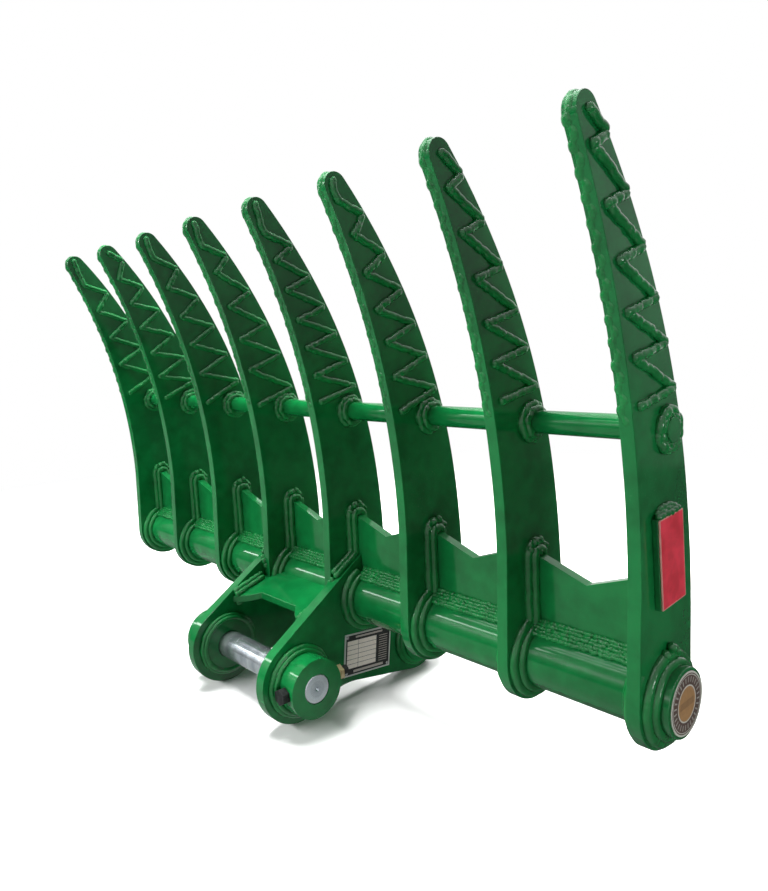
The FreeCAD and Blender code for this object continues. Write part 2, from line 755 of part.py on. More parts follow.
def hitch_welds():
    """Weld rings round the bosses and beads along the saddle plate."""
    beads = [saddle_bead(side) for side in (-1, 1)]
    for side in (-1, 1):
        for centre, radius in ((FRONT_PIN, FRONT_BOSS_RADIUS), (REAR_PIN, REAR_BOSS_RADIUS)):
            beads.append(weld_ring(centre, radius, BOSS_WELD, side * EAR_OUTSIDE, side))
            beads.append(weld_ring(centre, radius, INNER_BOSS_WELD, side * EAR_INSIDE, -side))
    return Part.makeCompound(beads)


def hitch_parts():
    """Bosses, pins and fasteners of the hitch, by name."""
    parts = {}
    inner = EAR_INSIDE - INNER_BOSS_LENGTH
    short = EAR_OUTSIDE + SHORT_BOSS_LENGTH
    for side, name in ((-1, "left"), (1, "right")):
        x_from, x_to = span(side, inner, EAR_INSIDE)
        parts["front_boss_inner_" + name] = boss(FRONT_PIN, FRONT_BOSS_RADIUS, x_from, x_to)
        parts["rear_boss_inner_" + name] = boss(REAR_PIN, REAR_BOSS_RADIUS, x_from, x_to)
    parts["front_boss_outer_left"] = boss(FRONT_PIN, FRONT_BOSS_RADIUS, -LONG_BOSS_END, -EAR_OUTSIDE)
    parts["front_boss_outer_right"] = drilled_boss(FRONT_PIN, FRONT_BOSS_RADIUS, 1)
    parts["rear_boss_outer_left"] = drilled_boss(REAR_PIN, REAR_BOSS_RADIUS, -1)
    parts["rear_boss_outer_right"] = boss(REAR_PIN, REAR_BOSS_RADIUS, EAR_OUTSIDE, short)
    parts["front_pin"] = pin(FRONT_PIN, -LONG_BOSS_END, LONG_BOSS_END, BOLT_X)
    parts["rear_pin"] = pin(REAR_PIN, -LONG_BOSS_END, short, -BOLT_X)
    for name, centre, radius, x in (("front", FRONT_PIN, FRONT_BOSS_RADIUS, BOLT_X),
                                    ("rear", REAR_PIN, REAR_BOSS_RADIUS, -BOLT_X)):
        parts[name + "_pin_bolt"] = through_bolt(centre, radius, x)
        parts[name + "_pin_washer"] = bolt_washer(centre, radius, x)
        parts[name + "_pin_nut"] = bolt_nut(centre, radius, x)
    return parts


def build():
    """Every piece of the rake, by name."""
    parts = {}
    for index in range(TINE_COUNT):
        parts["tine_%d" % (index + 1)] = tine(index)
        parts["hardfacing_%d" % (index + 1)] = hardfacing(index)
    for index in range(TINE_COUNT - 1):
        parts["web_plate_%d" % (index + 1)] = web_plate(index)
    parts["main_tube"] = main_tube()
    parts["crossbar"] = crossbar()
    for side, name in ((-1, "left"), (1, "right")):
        parts["tube_cap_" + name] = tube_cap(side)
        parts["ear_" + name] = ear(side)
    parts["saddle_plate"] = saddle_plate()
    parts.update(hitch_parts())
    parts["data_plate"] = data_plate()
    parts["data_plate_rivets"] = rivets()
    parts["badge_pad"] = badge_pad()
    parts["badge_plate"] = badge_plate()
    parts["end_disc"] = end_disc()
    parts["crossbar_welds"] = crossbar_welds()
    parts["tube_welds"] = tube_welds()
    parts["web_welds"] = web_welds()
    parts["hitch_welds"] = hitch_welds()
    return parts


os.makedirs("parts", exist_ok=True)
for node, shape in build().items():
    shape.exportStep("parts/" + node + ".step")
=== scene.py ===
import logging
import math
from dataclasses import dataclass
from enum import Enum
from typing import Any, Callable

import bpy
from mathutils import Matrix, Vector, noise


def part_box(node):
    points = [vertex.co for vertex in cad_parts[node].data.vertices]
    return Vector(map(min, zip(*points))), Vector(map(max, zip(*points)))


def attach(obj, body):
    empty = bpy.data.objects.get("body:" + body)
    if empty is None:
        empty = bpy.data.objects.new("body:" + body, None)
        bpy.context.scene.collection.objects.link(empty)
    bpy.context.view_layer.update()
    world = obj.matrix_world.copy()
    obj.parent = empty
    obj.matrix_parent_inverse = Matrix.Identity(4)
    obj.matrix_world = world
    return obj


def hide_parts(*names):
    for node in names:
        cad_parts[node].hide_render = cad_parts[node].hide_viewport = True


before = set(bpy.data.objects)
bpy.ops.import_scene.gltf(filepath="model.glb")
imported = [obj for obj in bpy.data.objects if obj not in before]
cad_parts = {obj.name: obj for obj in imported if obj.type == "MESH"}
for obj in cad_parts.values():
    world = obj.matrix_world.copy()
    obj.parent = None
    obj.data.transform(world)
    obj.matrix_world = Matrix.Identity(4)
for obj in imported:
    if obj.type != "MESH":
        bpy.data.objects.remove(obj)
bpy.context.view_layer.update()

# Brush rake, dressed round its CAD frame. Metres. X runs along the main tube, +Y to the rear, +Z up.
# Side-view points are given as (y, z) from the main tube's axis.

MM = 0.001
FLAT = math.radians(0.5)
SMOOTH_ANGLE = math.radians(35)
MERGE = 0.00001
NOISE_SEED = 7
log = logging.getLogger("brush_rake")


class Body(Enum):
    """The moving bodies of the rake."""

    FRAME = "frame"
    FRONT_PIN = "front_pin"
    REAR_PIN = "rear_pin"
    FRONT_BOLT = "front_bolt"
    REAR_BOLT = "rear_bolt"
    FRONT_NUT = "front_nut"
    REAR_NUT = "rear_nut"


class Slot(Enum):
    """Material slot names."""

    PAINT = "green_paint"
    STEEL = "pin_steel"
    BOLT = "black_bolt"
    NUT = "zinc_nut"
    DATA = "data_plate_face"
    RIVET = "rivet_metal"
    BADGE = "red_badge"
    DISC = "disc_face"


# Shader expressions


class Value:
    """A shader socket that can be used in Python arithmetic."""

    def __init__(self, shader: "Shader", socket: bpy.types.NodeSocket) -> None:
        """Wraps a socket of a shader."""
        self.shader = shader
        self.socket = socket

    def math(self, operation: str, *others: Any) -> "Value":
        """Adds a Math node.

        Args:
            operation: the node's operation.
            others: the second and third inputs, as numbers or values.

        Returns:
            The node's result.
        """
        return self.shader.value("ShaderNodeMath", {"operation": operation}, dict(enumerate((self,) + others)))

    def _swapped(self, operation: str, other: float) -> "Value":
        """Adds a Math node whose first input is a number."""
        return self.shader.value("ShaderNodeMath", {"operation": operation}, {0: other, 1: self})

    def __add__(self, other: Any) -> "Value":
        """Sum."""
        return self.math("ADD", other)

    def __radd__(self, other: float) -> "Value":
        """Sum with a number on the left."""
        return self.math("ADD", other)

    def __sub__(self, other: Any) -> "Value":
        """Difference."""
        return self.math("SUBTRACT", other)

    def __rsub__(self, other: float) -> "Value":
        """Difference from a number."""
        return self._swapped("SUBTRACT", other)

    def __mul__(self, other: Any) -> "Value":
        """Product."""
        return self.math("MULTIPLY", other)

    def __rmul__(self, other: float) -> "Value":
        """Product with a number on the left."""
        return self.math("MULTIPLY", other)

    def __truediv__(self, other: Any) -> "Value":
        """Quotient."""
        return self.math("DIVIDE", other)

    def __rtruediv__(self, other: float) -> "Value":
        """Quotient of a number."""
        return self._swapped("DIVIDE", other)

    def __abs__(self) -> "Value":
        """Size without the sign."""
        return self.math("ABSOLUTE")

    def above(self, limit: Any) -> "Value":
        """1 where the value is above the limit, otherwise 0."""
        return self.math("GREATER_THAN", limit)

    def below(self, limit: Any) -> "Value":
        """1 where the value is below the limit, otherwise 0."""
        return self.math("LESS_THAN", limit)

    def between(self, low: float, high: float) -> "Value":
        """1 where the value lies between two numbers, otherwise 0."""
        return self.above(low) * self.below(high)

    def smooth(self, low: float, high: float) -> "Value":
        """Soft step from 0 at low to 1 at high."""
        inputs = {"Value": self, "From Min": low, "From Max": high}
        return self.shader.value("ShaderNodeMapRange", {"interpolation_type": "SMOOTHSTEP"}, inputs)


class Shader:
    """A material's or the world's node tree, with helpers that add nodes to it."""

    def __init__(self, owner: Any) -> None:
        """Empties the owner's node tree.

        Args:
            owner: a material or a world.
        """
        owner.use_nodes = True
        self.owner = owner
        self.tree = owner.node_tree
        self.tree.nodes.clear()

    def node(self, kind: str, settings: dict[str, Any], inputs: dict[Any, Any]) -> bpy.types.Node:
        """Adds a node.

        Args:
            kind: the node's type.
            settings: its properties.
            inputs: values, colours or wrapped sockets, by socket name or number.

        Returns:
            The new node.
        """
        node = self.tree.nodes.new(kind)
        for key, value in settings.items():
            setattr(node, key, value)
        for key, value in inputs.items():
            if isinstance(value, Value):
                self.tree.links.new(value.socket, node.inputs[key])
            else:
                node.inputs[key].default_value = value
        return node

    def value(self, kind: str, settings: dict[str, Any], inputs: dict[Any, Any], output: Any = 0) -> Value:
        """Adds a node and wraps one of its outputs."""
        return Value(self, self.node(kind, settings, inputs).outputs[output])

    def place(self) -> Value:
        """Object coordinates."""
        return self.value("ShaderNodeTexCoord", {}, {}, "Object")

    def axes(self) -> tuple[Value, Value, Value]:
        """Object coordinates, one value for each axis."""
        split = self.node("ShaderNodeSeparateXYZ", {}, {0: self.place()})
        return tuple(Value(self, split.outputs[k]) for k in range(3))

    def tilted(self, centre: tuple[float, float], tilt: float) -> tuple[Value, Value]:
        """Coordinates on an upright face that looks along X, from its centre.

        Args:
            centre: the face's centre, as (y, z).
            tilt: how far the face is turned about X, in degrees.

        Returns:
            The distances across and up.
        """
        _, y, z = self.axes()
        y = y - centre[0]
        z = z - centre[1]
        cosine = math.cos(math.radians(tilt))
        sine = math.sin(math.radians(tilt))
        return y * cosine + z * sine, z * cosine - y * sine

    def noise(self, scale: float, detail: float = 2.0, place: Value | None = None) -> Value:
        """Noise between 0 and 1.

        Args:
            scale: cells in a metre.
            detail: finer layers.
            place: where it is read, on Object coordinates if not given.

        Returns:
            The noise's factor.
        """
        vector = self.place() if place is None else place
        inputs = {"Vector": vector, "Scale": scale, "Detail": detail}
        return self.value("ShaderNodeTexNoise", {}, inputs, "Fac")

    def mix(self, factor: Any, first: Any, second: Any) -> Value:
        """Blend of two colours. The node's colour sockets have the numbers 6, 7 and 2."""
        return self.value("ShaderNodeMix", {"data_type": "RGBA"}, {0: factor, 6: first, 7: second}, 2)

    def seen(self) -> Value:
        """1 on rays from the camera, from reflections and through glass, otherwise 0."""
        path = self.node("ShaderNodeLightPath", {}, {})
        camera, glossy, glass = [
            Value(self, path.outputs["Is %s Ray" % kind]) for kind in ("Camera", "Glossy", "Transmission")]
        return (camera + glossy + glass).math("MINIMUM", 1.0)

    def bump(self, height: Value, strength: float, distance: float, normal: Value | None = None) -> Value:
        """Bump from a height.

        Args:
            height: the height, 0 to 1.
            strength: the effect's share.
            distance: metres for a height of 1.
            normal: a bump under this one.

        Returns:
            The bent normal.
        """
        inputs = {"Height": height, "Strength": strength, "Distance": distance}
        if normal is not None:
            inputs["Normal"] = normal
        return self.value("ShaderNodeBump", {}, inputs)

    def principled(self, inputs: dict[str, Any]) -> Any:
        """Ends a material with a Principled shader and gives the material back."""
        return self.finish(self.value("ShaderNodeBsdfPrincipled", {}, inputs))

    def finish(self, surface: Value) -> Any:
        """Links the surface to the output.

        Args:
            surface: the surface's shader.

        Returns:
            The material or world that owns the nodes.
        """
        kind = "World" if isinstance(self.owner, bpy.types.World) else "Material"
        self.node("ShaderNodeOutput" + kind, {}, {"Surface": surface})
        return self.owner


def new_shader(name: str) -> Shader:
    """Shader of a new material."""
    return Shader(bpy.data.materials.new(name))


def linear(level: float) -> float:
    """Linear share of a screen level from 0 to 255."""
    share = level / 255
    return share / 12.92 if share <= 0.04045 else ((share + 0.055) / 1.055) ** 2.4


def colour(red: float, green: float, blue: float) -> tuple[float, float, float, float]:
    """Linear colour from the 0 to 255 values that it shows on screen."""
    return linear(red), linear(green), linear(blue), 1.0


# Finishes


@dataclass(frozen=True)
class GreenEnamel:
    """Glossy green enamel on rolled plate, or thicker and rougher on welds, where main gives it lighter colours
    as a painted highlight.
    """

    name: str
    light: tuple = colour(15, 118, 58)
    deep: tuple = colour(8, 93, 44)
    roughness: float = 0.08
    peel: float = 0.04
    ripple: float = 0.0

    def material(self) -> bpy.types.Material:
        """Builds the paint.

        Returns:
            The material.
        """
        shader = new_shader(self.name)
        cloud = shader.noise(7, 3)
        drift = shader.noise(38, 3)
        tone = (cloud * 0.65 + drift * 0.35).smooth(0.32, 0.68)
        base = shader.mix(tone, self.deep, self.light)
        dust = shader.noise(420, 4).smooth(0.60, 0.78) * shader.noise(12, 2).smooth(0.45, 0.75)
        base = shader.mix(dust * 0.10, base, colour(150, 170, 150))
        rough = self.roughness + 0.05 * drift + 0.16 * dust
        normal = shader.bump(shader.noise(26, 2), 0.10, 0.0012)
        normal = shader.bump(shader.noise(330, 2), self.peel, 0.0004, normal)
        if self.ripple > 0:
            normal = shader.bump(shader.noise(700, 3), self.ripple, 0.0006, normal)
        return shader.principled({
            "Base Color": base, "Roughness": rough, "Normal": normal,
            "Specular IOR Level": 0.42, "Coat Weight": 0.10, "Coat Roughness": 0.06})


@dataclass(frozen=True)
class TurnedSteel:
    """Bare ground steel, with fine turned rings about an axis along X."""

    name: str
    axis: tuple[float, float]
    bright: tuple = colour(206, 213, 218)
    dull: tuple = colour(160, 168, 176)

    def material(self) -> bpy.types.Material:
        """Builds the steel.

        Returns:
            The material.
        """
        shader = new_shader(self.name)
        x, y, z = shader.axes()
        across = (y - self.axis[0]).math("POWER", 2.0) + (z - self.axis[1]).math("POWER", 2.0)
        radius = across.math("SQRT")
        line = shader.value("ShaderNodeCombineXYZ", {}, {0: x, 1: radius})
        rings = shader.noise(900, 3, line)
        bands = shader.noise(60, 2, line)
        smear = shader.noise(25, 4)
        base = shader.mix((bands * 0.6 + smear * 0.4).smooth(0.3, 0.7), self.dull, self.bright)
        rough = 0.15 + 0.10 * smear + 0.05 * rings
        normal = shader.bump(rings, 0.07, 0.0002)
        return shader.principled({"Base Color": base, "Roughness": rough, "Normal": normal, "Metallic": 0.88})


@dataclass(frozen=True)
class Fastener:
    """Blackened or plated steel of the bolts, nuts and rivets."""

    name: str
    light: tuple
    dark: tuple
    metallic: float
    roughness: float
    thread_pitch: float = 0.0

    def material(self) -> bpy.types.Material:
        """Builds the metal, with thread ridges along Y where there is a pitch.

        Returns:
            The material.
        """
        shader = new_shader(self.name)
        patches = shader.noise(140, 4)
        grains = shader.noise(900, 2)
        base = shader.mix(patches.smooth(0.35, 0.7), self.dark, self.light)
        rough = self.roughness + 0.2 * patches
        normal = shader.bump(grains, 0.18, 0.0003)
        if self.thread_pitch > 0:
            _, y, _ = shader.axes()
            wave = (y / self.thread_pitch).math("PINGPONG", 0.5) * 2.0
            normal = shader.bump(wave, 0.7, self.thread_pitch / 3, normal)
        return shader.principled({
            "Base Color": base, "Roughness": rough, "Normal": normal, "Metallic": self.metallic})


@dataclass(frozen=True)
class PrintedPlate:
    """Data plate with a pale border, a dark field and an empty ruled table."""

    name: str
    centre: tuple[float, float]
    tilt: float
    width: float = 0.110
    height: float = 0.077
    border: float = 0.0028
    row: float = 0.0085
    rule: float = 0.0007

    def material(self) -> bpy.types.Material:
        """Builds the print.

        Returns:
            The material.
        """
        shader = new_shader(self.name)
        across, up = shader.tilted(self.centre, self.tilt)
        half_width = self.width / 2
        half_height = self.height / 2
        field = abs(across).below(half_width - self.border) * abs(up).below(half_height - self.border)
        table_across = across.between(-half_width + 0.006, half_width * 0.36)
        table_up = up.between(-half_height + 0.014, half_height - 0.013)
        rows = ((up / self.row).math("FRACT") * self.row).above(self.rule)
        column = abs(across + half_width * 0.42).above(self.rule / 2)
        side_across = across.between(half_width * 0.48, half_width - 0.008)
        side_rows = ((up / (self.row / 2)).math("FRACT")).between(0.35, 0.62)
        side = side_across * table_up * side_rows
        footer = across.between(-half_width * 0.6, half_width * 0.7)
        footer = footer * abs(up + half_height - 0.0078).below(0.0022)
        header = across.between(-half_width * 0.55, half_width * 0.62)
        header = header * abs(up - half_height + 0.0072).below(0.0016)
        pale = shader.mix(shader.noise(220, 3), colour(250, 243, 232), colour(232, 222, 208))
        dark = shader.mix(shader.noise(300, 3), colour(34, 38, 36), colour(20, 22, 22))
        table = table_across * table_up
        ink = shader.mix(table * rows * column, dark, pale)
        ink = shader.mix((side + footer + header).math("MINIMUM", 1.0) * 0.55, ink, pale)
        base = shader.mix(field, colour(200, 206, 200), ink)
        rough = 0.34 + 0.2 * shader.noise(60, 3)
        normal = shader.bump(shader.noise(120, 3), 0.15, 0.0004)
        normal = shader.bump(1.0 - field, 0.5, 0.0003, normal)
        return shader.principled({
            "Base Color": base, "Roughness": rough, "Normal": normal,
            "Metallic": (1.0 - field) * 0.3, "Coat Weight": 0.3})


@dataclass(frozen=True)
class RedEnamel:
    """Red badge face with a paler worn rim."""

    name: str
    centre: tuple[float, float]
    tilt: float
    width: float = 0.058
    height: float = 0.112
    rim: float = 0.0016

    def material(self) -> bpy.types.Material:
        """Builds the badge's finish.

        Returns:
            The material.
        """
        shader = new_shader(self.name)
        across, up = shader.tilted(self.centre, self.tilt)
        edge = (self.width / 2 - abs(across)).math("MINIMUM", self.height / 2 - abs(up))
        wear = edge + (shader.noise(300, 3) - 0.5) * 0.0016
        field = wear.smooth(self.rim * 0.6, self.rim)
        patches = shader.noise(45, 4)
        red = shader.mix(patches.smooth(0.35, 0.7), colour(204, 28, 50), colour(232, 50, 74))
        base = shader.mix(field, colour(214, 150, 140), red)
        normal = shader.bump(shader.noise(150, 3), 0.25, 0.0006)
        return shader.principled({
            "Base Color": base, "Roughness": 0.30 + 0.2 * patches, "Normal": normal, "Coat Weight": 0.2})


@dataclass(frozen=True)
class RingedDisc:
    """Round face with a tan middle, a dark ring of plain marks and a pale rim."""

    name: str
    centre: tuple[float, float]
    radius: float = 0.040
    middle: float = 0.0225
    marks: int = 28

    def material(self) -> bpy.types.Material:
        """Builds the disc's face.

        Returns:
            The material.
        """
        shader = new_shader(self.name)
        _, y, z = shader.axes()
        side = y - self.centre[0]
        up = z - self.centre[1]
        radius = (side * side + up * up).math("SQRT")
        turn = up.math("ARCTAN2", side) / (2 * math.pi)
        rim = radius.above(self.radius - 0.0022)
        line = abs(radius - self.middle).below(0.0009)
        outer_line = abs(radius - self.radius + 0.0042).below(0.0005)
        mark = ((turn * self.marks).math("FRACT")).between(0.32, 0.62)
        mark = mark * radius.between(self.middle + 0.004, self.radius - 0.0068)
        bar = abs(up).below(0.0045) * radius.below(self.middle - 0.004)
        tan = shader.mix(shader.noise(160, 4), colour(186, 142, 84), colour(150, 110, 66))
        dark = shader.mix(shader.noise(160, 4), colour(92, 62, 48), colour(58, 42, 36))
        pale = colour(206, 206, 196)
        base = shader.mix(radius.above(self.middle), tan, dark)
        base = shader.mix(mark * 0.6, base, pale)
        base = shader.mix(bar * 0.35, base, colour(70, 48, 34))
        base = shader.mix((rim + line + outer_line).math("MINIMUM", 1.0), base, pale)
        rough = 0.32 + 0.2 * shader.noise(50, 2)
        normal = shader.bump(shader.noise(90, 3), 0.2, 0.0005)
        return shader.principled({"Base Color": base, "Roughness": rough, "Normal": normal, "Coat Weight": 0.4})


# Mesh helpers


def select_only(piece: bpy.types.Object) -> None:
    """Selects one object and makes it active.

    Args:
        piece: the object.
    """
    bpy.ops.object.select_all(action="DESELECT")
    piece.select_set(True)
    bpy.context.view_layer.objects.active = piece


def dress(piece: bpy.types.Object, material: bpy.types.Material, slot: Slot, body: Body, *nodes: str) -> None:
    """Gives a piece its finish and its body, and hides the CAD nodes that it stands for.

    Args:
        piece: the finished piece.
        material: its material.
        slot: not used.
        body: the body that it rides on.
        nodes: the CAD nodes that it replaces.
    """
    piece.data.materials.clear()
    piece.data.materials.append(material)
    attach(piece, body.value)
    if nodes:
        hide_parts(*nodes)
    log.info("%s: %d faces", piece.name, len(piece.data.polygons))


def rounded_copy(node: str, radius: float) -> bpy.types.Object:
    """Copy of a CAD node with its sharp edges rounded.

    Args:
        node: the CAD node.
        radius: how far the rounding goes from each edge.

    Returns:
        The new piece.
    """
    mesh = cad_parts[node].data.copy()
    piece = bpy.data.objects.new(node + "_dressed", mesh)
    bpy.context.scene.collection.objects.link(piece)
    select_only(piece)
    bpy.ops.object.mode_set(mode="EDIT")
    bpy.ops.mesh.select_all(action="SELECT")
    bpy.ops.mesh.remove_doubles(threshold=MERGE)
    bpy.ops.mesh.dissolve_limited(angle_limit=FLAT)
    bpy.ops.object.mode_set(mode="OBJECT")
    bpy.ops.mesh.customdata_custom_splitnormals_clear()
    bevel = piece.modifiers.new("rounding", "BEVEL")
    bevel.width = radius
    bevel.segments = 2
    bevel.limit_method = "ANGLE"
    bevel.angle_limit = math.radians(40)
    bpy.ops.object.modifier_apply(modifier=bevel.name)
    bpy.ops.object.shade_smooth_by_angle(angle=SMOOTH_ANGLE)
    weighted = piece.modifiers.new("flat_faces", "WEIGHTED_NORMAL")
    weighted.keep_sharp = True
    bpy.ops.object.modifier_apply(modifier=weighted.name)
    return piece


# Weld beads


def resample(points: list[Vector], step: float, closed: bool) -> list[Vector]:
    """Points at an even spacing along a line of straight runs.

    Args:
        points: the line's corners.
        step: the spacing.
        closed: whether the line runs back to its start.

    Returns:
        The new points.
    """
    corners = points + points[:1] if closed else points
    result = [corners[0].copy()]
    carry = 0.0
    for start, end in zip(corners, corners[1:]):
        length = (end - start).length
        reach = step - carry
        while reach <= length:
            result.append(start.lerp(end, reach / length))
            reach += step
        carry = (carry + length) % step
    if closed and (result[-1] - result[0]).length < step / 2:
        result.pop()
    return result


def relaxed(points: list[Vector], rounds: int, closed: bool) -> list[Vector]:
    """Points moved towards their neighbours, so that corners turn smoothly.

    Args:
        points: evenly spaced points.
        rounds: how many times each point moves.
        closed: whether the line runs back to its start.

    Returns:
        The new points.
    """
    count = len(points)
    for _ in range(rounds):
        moved = [(points[k - 1] + points[k] * 2 + points[(k + 1) % count]) / 4 for k in range(count)]
        if not closed:
            moved[0] = points[0]
            moved[-1] = points[-1]
        points = moved
    return points


@dataclass(frozen=True)
class Bead:
    """Weld bead: a round section whose thickness ripples and swells along its length."""

    radius: float
    pitch: float = 5.0 * MM
    ripple: float = 0.12
    swell: float = 0.12
    swell_length: float = 22.0 * MM
    wander: float = 0.6 * MM
    step: float = 1.25 * MM
    rounds: int = 3
    weave: float = 0.0

    def thickness(self, travel: float, length: float, closed: bool, place: Vector) -> float:
        """Share of the full radius at a distance along the bead.

        Args:
            travel: the distance from the start.
            length: the bead's length.
            closed: whether it runs back to its start.
            place: the point, which seeds the swelling.

        Returns:
            The share, at most 1.
        """
        wave = abs(math.sin(math.pi * travel / self.pitch))
        share = 1 - self.ripple * (1 - wave ** 0.6)
        swell = 0.5 + 0.5 * noise.noise(place / self.swell_length)
        share *= 1 - self.swell * max(0.0, min(1.0, swell))
        if not closed:
            near = min(travel, length - travel)
            if near < self.radius:
                share *= math.sqrt(max(0.02, 1 - (1 - near / self.radius) ** 2))
        return share

    def lay(self, curve: bpy.types.Curve, corners: list[Vector], closed: bool = False) -> None:
        """Adds the bead to a curve as one spline.

        Args:
            curve: the curve that takes the bead.
            corners: the bead's line.
            closed: whether it runs back to its start.
        """
        points = relaxed(resample(corners, self.step, closed), self.rounds, closed)
        length = self.step * len(points)
        spline = curve.splines.new("POLY")
        spline.points.add(len(points) - 1)
        spline.use_cyclic_u = closed
        for number, (target, point) in enumerate(zip(spline.points, points)):
            drift = noise.noise_vector(point / (self.swell_length * 0.6)) * self.wander
            drift.x += self.weave * math.sin(math.pi * number * self.step / self.pitch)
            place = point + drift
            target.co = (place.x, place.y, place.z, 1.0)
            share = self.thickness(number * self.step, length, closed, point)
            target.radius = share * self.radius / MM


def new_curve(name: str) -> bpy.types.Curve:
    """Empty curve with a round section whose radius is given in millimetres at each point.

    Args:
        name: the name of the piece that it becomes.

    Returns:
        The curve.
    """
    curve = bpy.data.curves.new(name, "CURVE")
    curve.dimensions = "3D"
    curve.bevel_depth = MM
    curve.bevel_resolution = 3
    curve.use_fill_caps = True
    return curve


def as_mesh(curve: bpy.types.Curve) -> bpy.types.Object:
    """Mesh piece out of a curve of beads, smooth and with its faces outwards.

    Args:
        curve: the curve.

    Returns:
        The new piece.
    """
    piece = bpy.data.objects.new(curve.name, curve)
    bpy.context.scene.collection.objects.link(piece)
    select_only(piece)
    bpy.ops.object.convert(target="MESH")
    bpy.ops.object.mode_set(mode="EDIT")
    bpy.ops.mesh.select_all(action="SELECT")
    bpy.ops.mesh.remove_doubles(threshold=MERGE)
    bpy.ops.mesh.normals_make_consistent(inside=False)
    bpy.ops.object.mode_set(mode="OBJECT")
    bpy.ops.object.shade_smooth()
    return piece


# Places


@dataclass(frozen=True)
class Places:
    """Where the rake's plates stand, read from the CAD frame."""

    tube: Vector
    tube_radius: float
    tine_middles: tuple[float, ...]
    tine_half: float
    bar_height: float
    bar_radius: float
    web_half: float
    web_top: float
    ear_inside: float
    ear_outside: float

    @classmethod
    def read(cls) -> "Places":
        """Reads the places.

        Returns:
            The places.
        """
        low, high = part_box("main_tube")
        tube = (low + high) / 2
        bar_low, bar_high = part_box("crossbar")
        web_low, web_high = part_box("web_plate_1")
        ear_low, ear_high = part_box("ear_right")
        tines = [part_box("tine_%d" % (k + 1)) for k in range(8)]
        return cls(
            tube=Vector((0, tube.y, tube.z)),
            tube_radius=(high.z - low.z) / 2,
            tine_middles=tuple((a.x + b.x) / 2 for a, b in tines),
            tine_half=(tines[0][1].x - tines[0][0].x) / 2,
            bar_height=(bar_low.z + bar_high.z) / 2 - tube.z,
            bar_radius=(bar_high.z - bar_low.z) / 2,
            web_half=(web_high.y - web_low.y) / 2,
            web_top=web_high.z - tube.z,
            ear_inside=ear_low.x,
            ear_outside=ear_high.x)

    @property
    def last(self) -> int:
        """Number of the last tine, from 0."""
        return len(self.tine_middles) - 1

    def end_side(self, index: int) -> int:
        """Side of an end tine that looks outwards, or 0 for the tines between."""
        return {0: -1, self.last: 1}.get(index, 0)

    def at(self, x: float, y: float, z: float) -> Vector:
        """Point whose y and z are measured from the tube's axis."""
        return Vector((x, self.tube.y + y, self.tube.z + z))

    def circle(self, x: float, y: float, z: float, radius: float, start: float = 0.0,
               end: float = 360.0, count: int = 72) -> list[Vector]:
        """Points on a circle about an axis along X.

        Args:
            x: the circle's place along X.
            y: its centre from the tube's axis.
            z: its centre from the tube's axis.
            radius: the radius.
            start: first angle, from +Y towards +Z.
            end: last angle.
            count: number of steps.

        Returns:
            The points, without the last one on a full turn.
        """
        whole = abs(end - start) >= 360
        turns = [math.radians(start + (end - start) * k / count) for k in range(count + (0 if whole else 1))]
        return [self.at(x, y + radius * math.cos(t), z + radius * math.sin(t)) for t in turns]


def heading(step: Vector) -> float:
    """Angle of a side-view step in degrees, from +Y towards +Z."""
    return math.degrees(math.atan2(step.y, step.x))


@dataclass(frozen=True)
class TineShape:
    """Side outline of a tine, from the tube's axis."""

    front_turn: tuple[float, float] = (-0.061, 0.150)
    front_radius: float = 1.145
    tip: tuple[float, float] = (-0.1625, 0.667)
    tip_radius: float = 0.0195
    back_straight: float = 0.082
    back_lower_radius: float = 1.072
    back_join_rise: float = 0.188
    foot_radius: float = 0.06645

    def front_centre(self) -> Vector:
        """Centre of the hollow front edge's arc.

        Returns:
            The centre, as (y, z).
        """
        start = Vector(self.front_turn)
        step = Vector(self.tip) - start
        outer = self.front_radius + self.tip_radius
        along = (step.length ** 2 + self.front_radius ** 2 - outer ** 2) / (2 * step.length)
        across = math.sqrt(self.front_radius ** 2 - along ** 2)
        direction = step.normalized()
        return start + direction * along + Vector((-direction.y, direction.x)) * across

    def back_arc(self) -> tuple[Vector, float]:
        """Arc of the upper back edge.

        Returns:
            Its centre, as (y, z), and its radius.
        """
        lower = Vector((self.foot_radius - self.back_lower_radius, self.back_straight))
        rise = math.asin(self.back_join_rise / self.back_lower_radius)
        outward = Vector((math.cos(rise), math.sin(rise)))
        join = lower + outward * self.back_lower_radius
        step = join - Vector(self.tip)
        radius = (step.length_squared - self.tip_radius ** 2) / (2 * (step.dot(outward) - self.tip_radius))
        return join - outward * radius, radius

    def front(self, z: float) -> float:
        """Front edge at a height."""
        centre = self.front_centre()
        return centre.x + math.sqrt(self.front_radius ** 2 - (z - centre.y) ** 2)

    def back(self, z: float) -> float:
        """Back edge at a height."""
        centre, radius = self.back_arc()
        return centre.x + math.sqrt(radius ** 2 - (z - centre.y) ** 2)


@dataclass(frozen=True)
class CornerPass:
    """Course of a bead round a web plate's end: how far off the face, beside the plate and over its corner."""

    off: float
    beside: float
    rise: float

    def reach(self, places: Places) -> float:
        """How far the bead runs from the web plate's middle."""
        return places.web_half + self.beside

    def over(self, places: Places) -> list[tuple[float, float]]:
        """Way over the web plate's top corner, from behind it to the front.

        Args:
            places: where the plates stand.

        Returns:
            Side-view points from the tube's axis.
        """
        reach = self.reach(places)
        shoulder = places.web_top + self.rise * 0.7
        side = places.web_top - 4 * MM
        return [(reach, side), (reach * 0.75, shoulder), (0.0, places.web_top + self.rise),
                (-reach * 0.75, shoulder), (-reach, side)]


OUTER_PASS = CornerPass(off=1.6 * MM, beside=9.0 * MM, rise=13 * MM)
INNER_PASS = CornerPass(off=8.5 * MM, beside=2.4 * MM, rise=4 * MM)


# Sub-assemblies


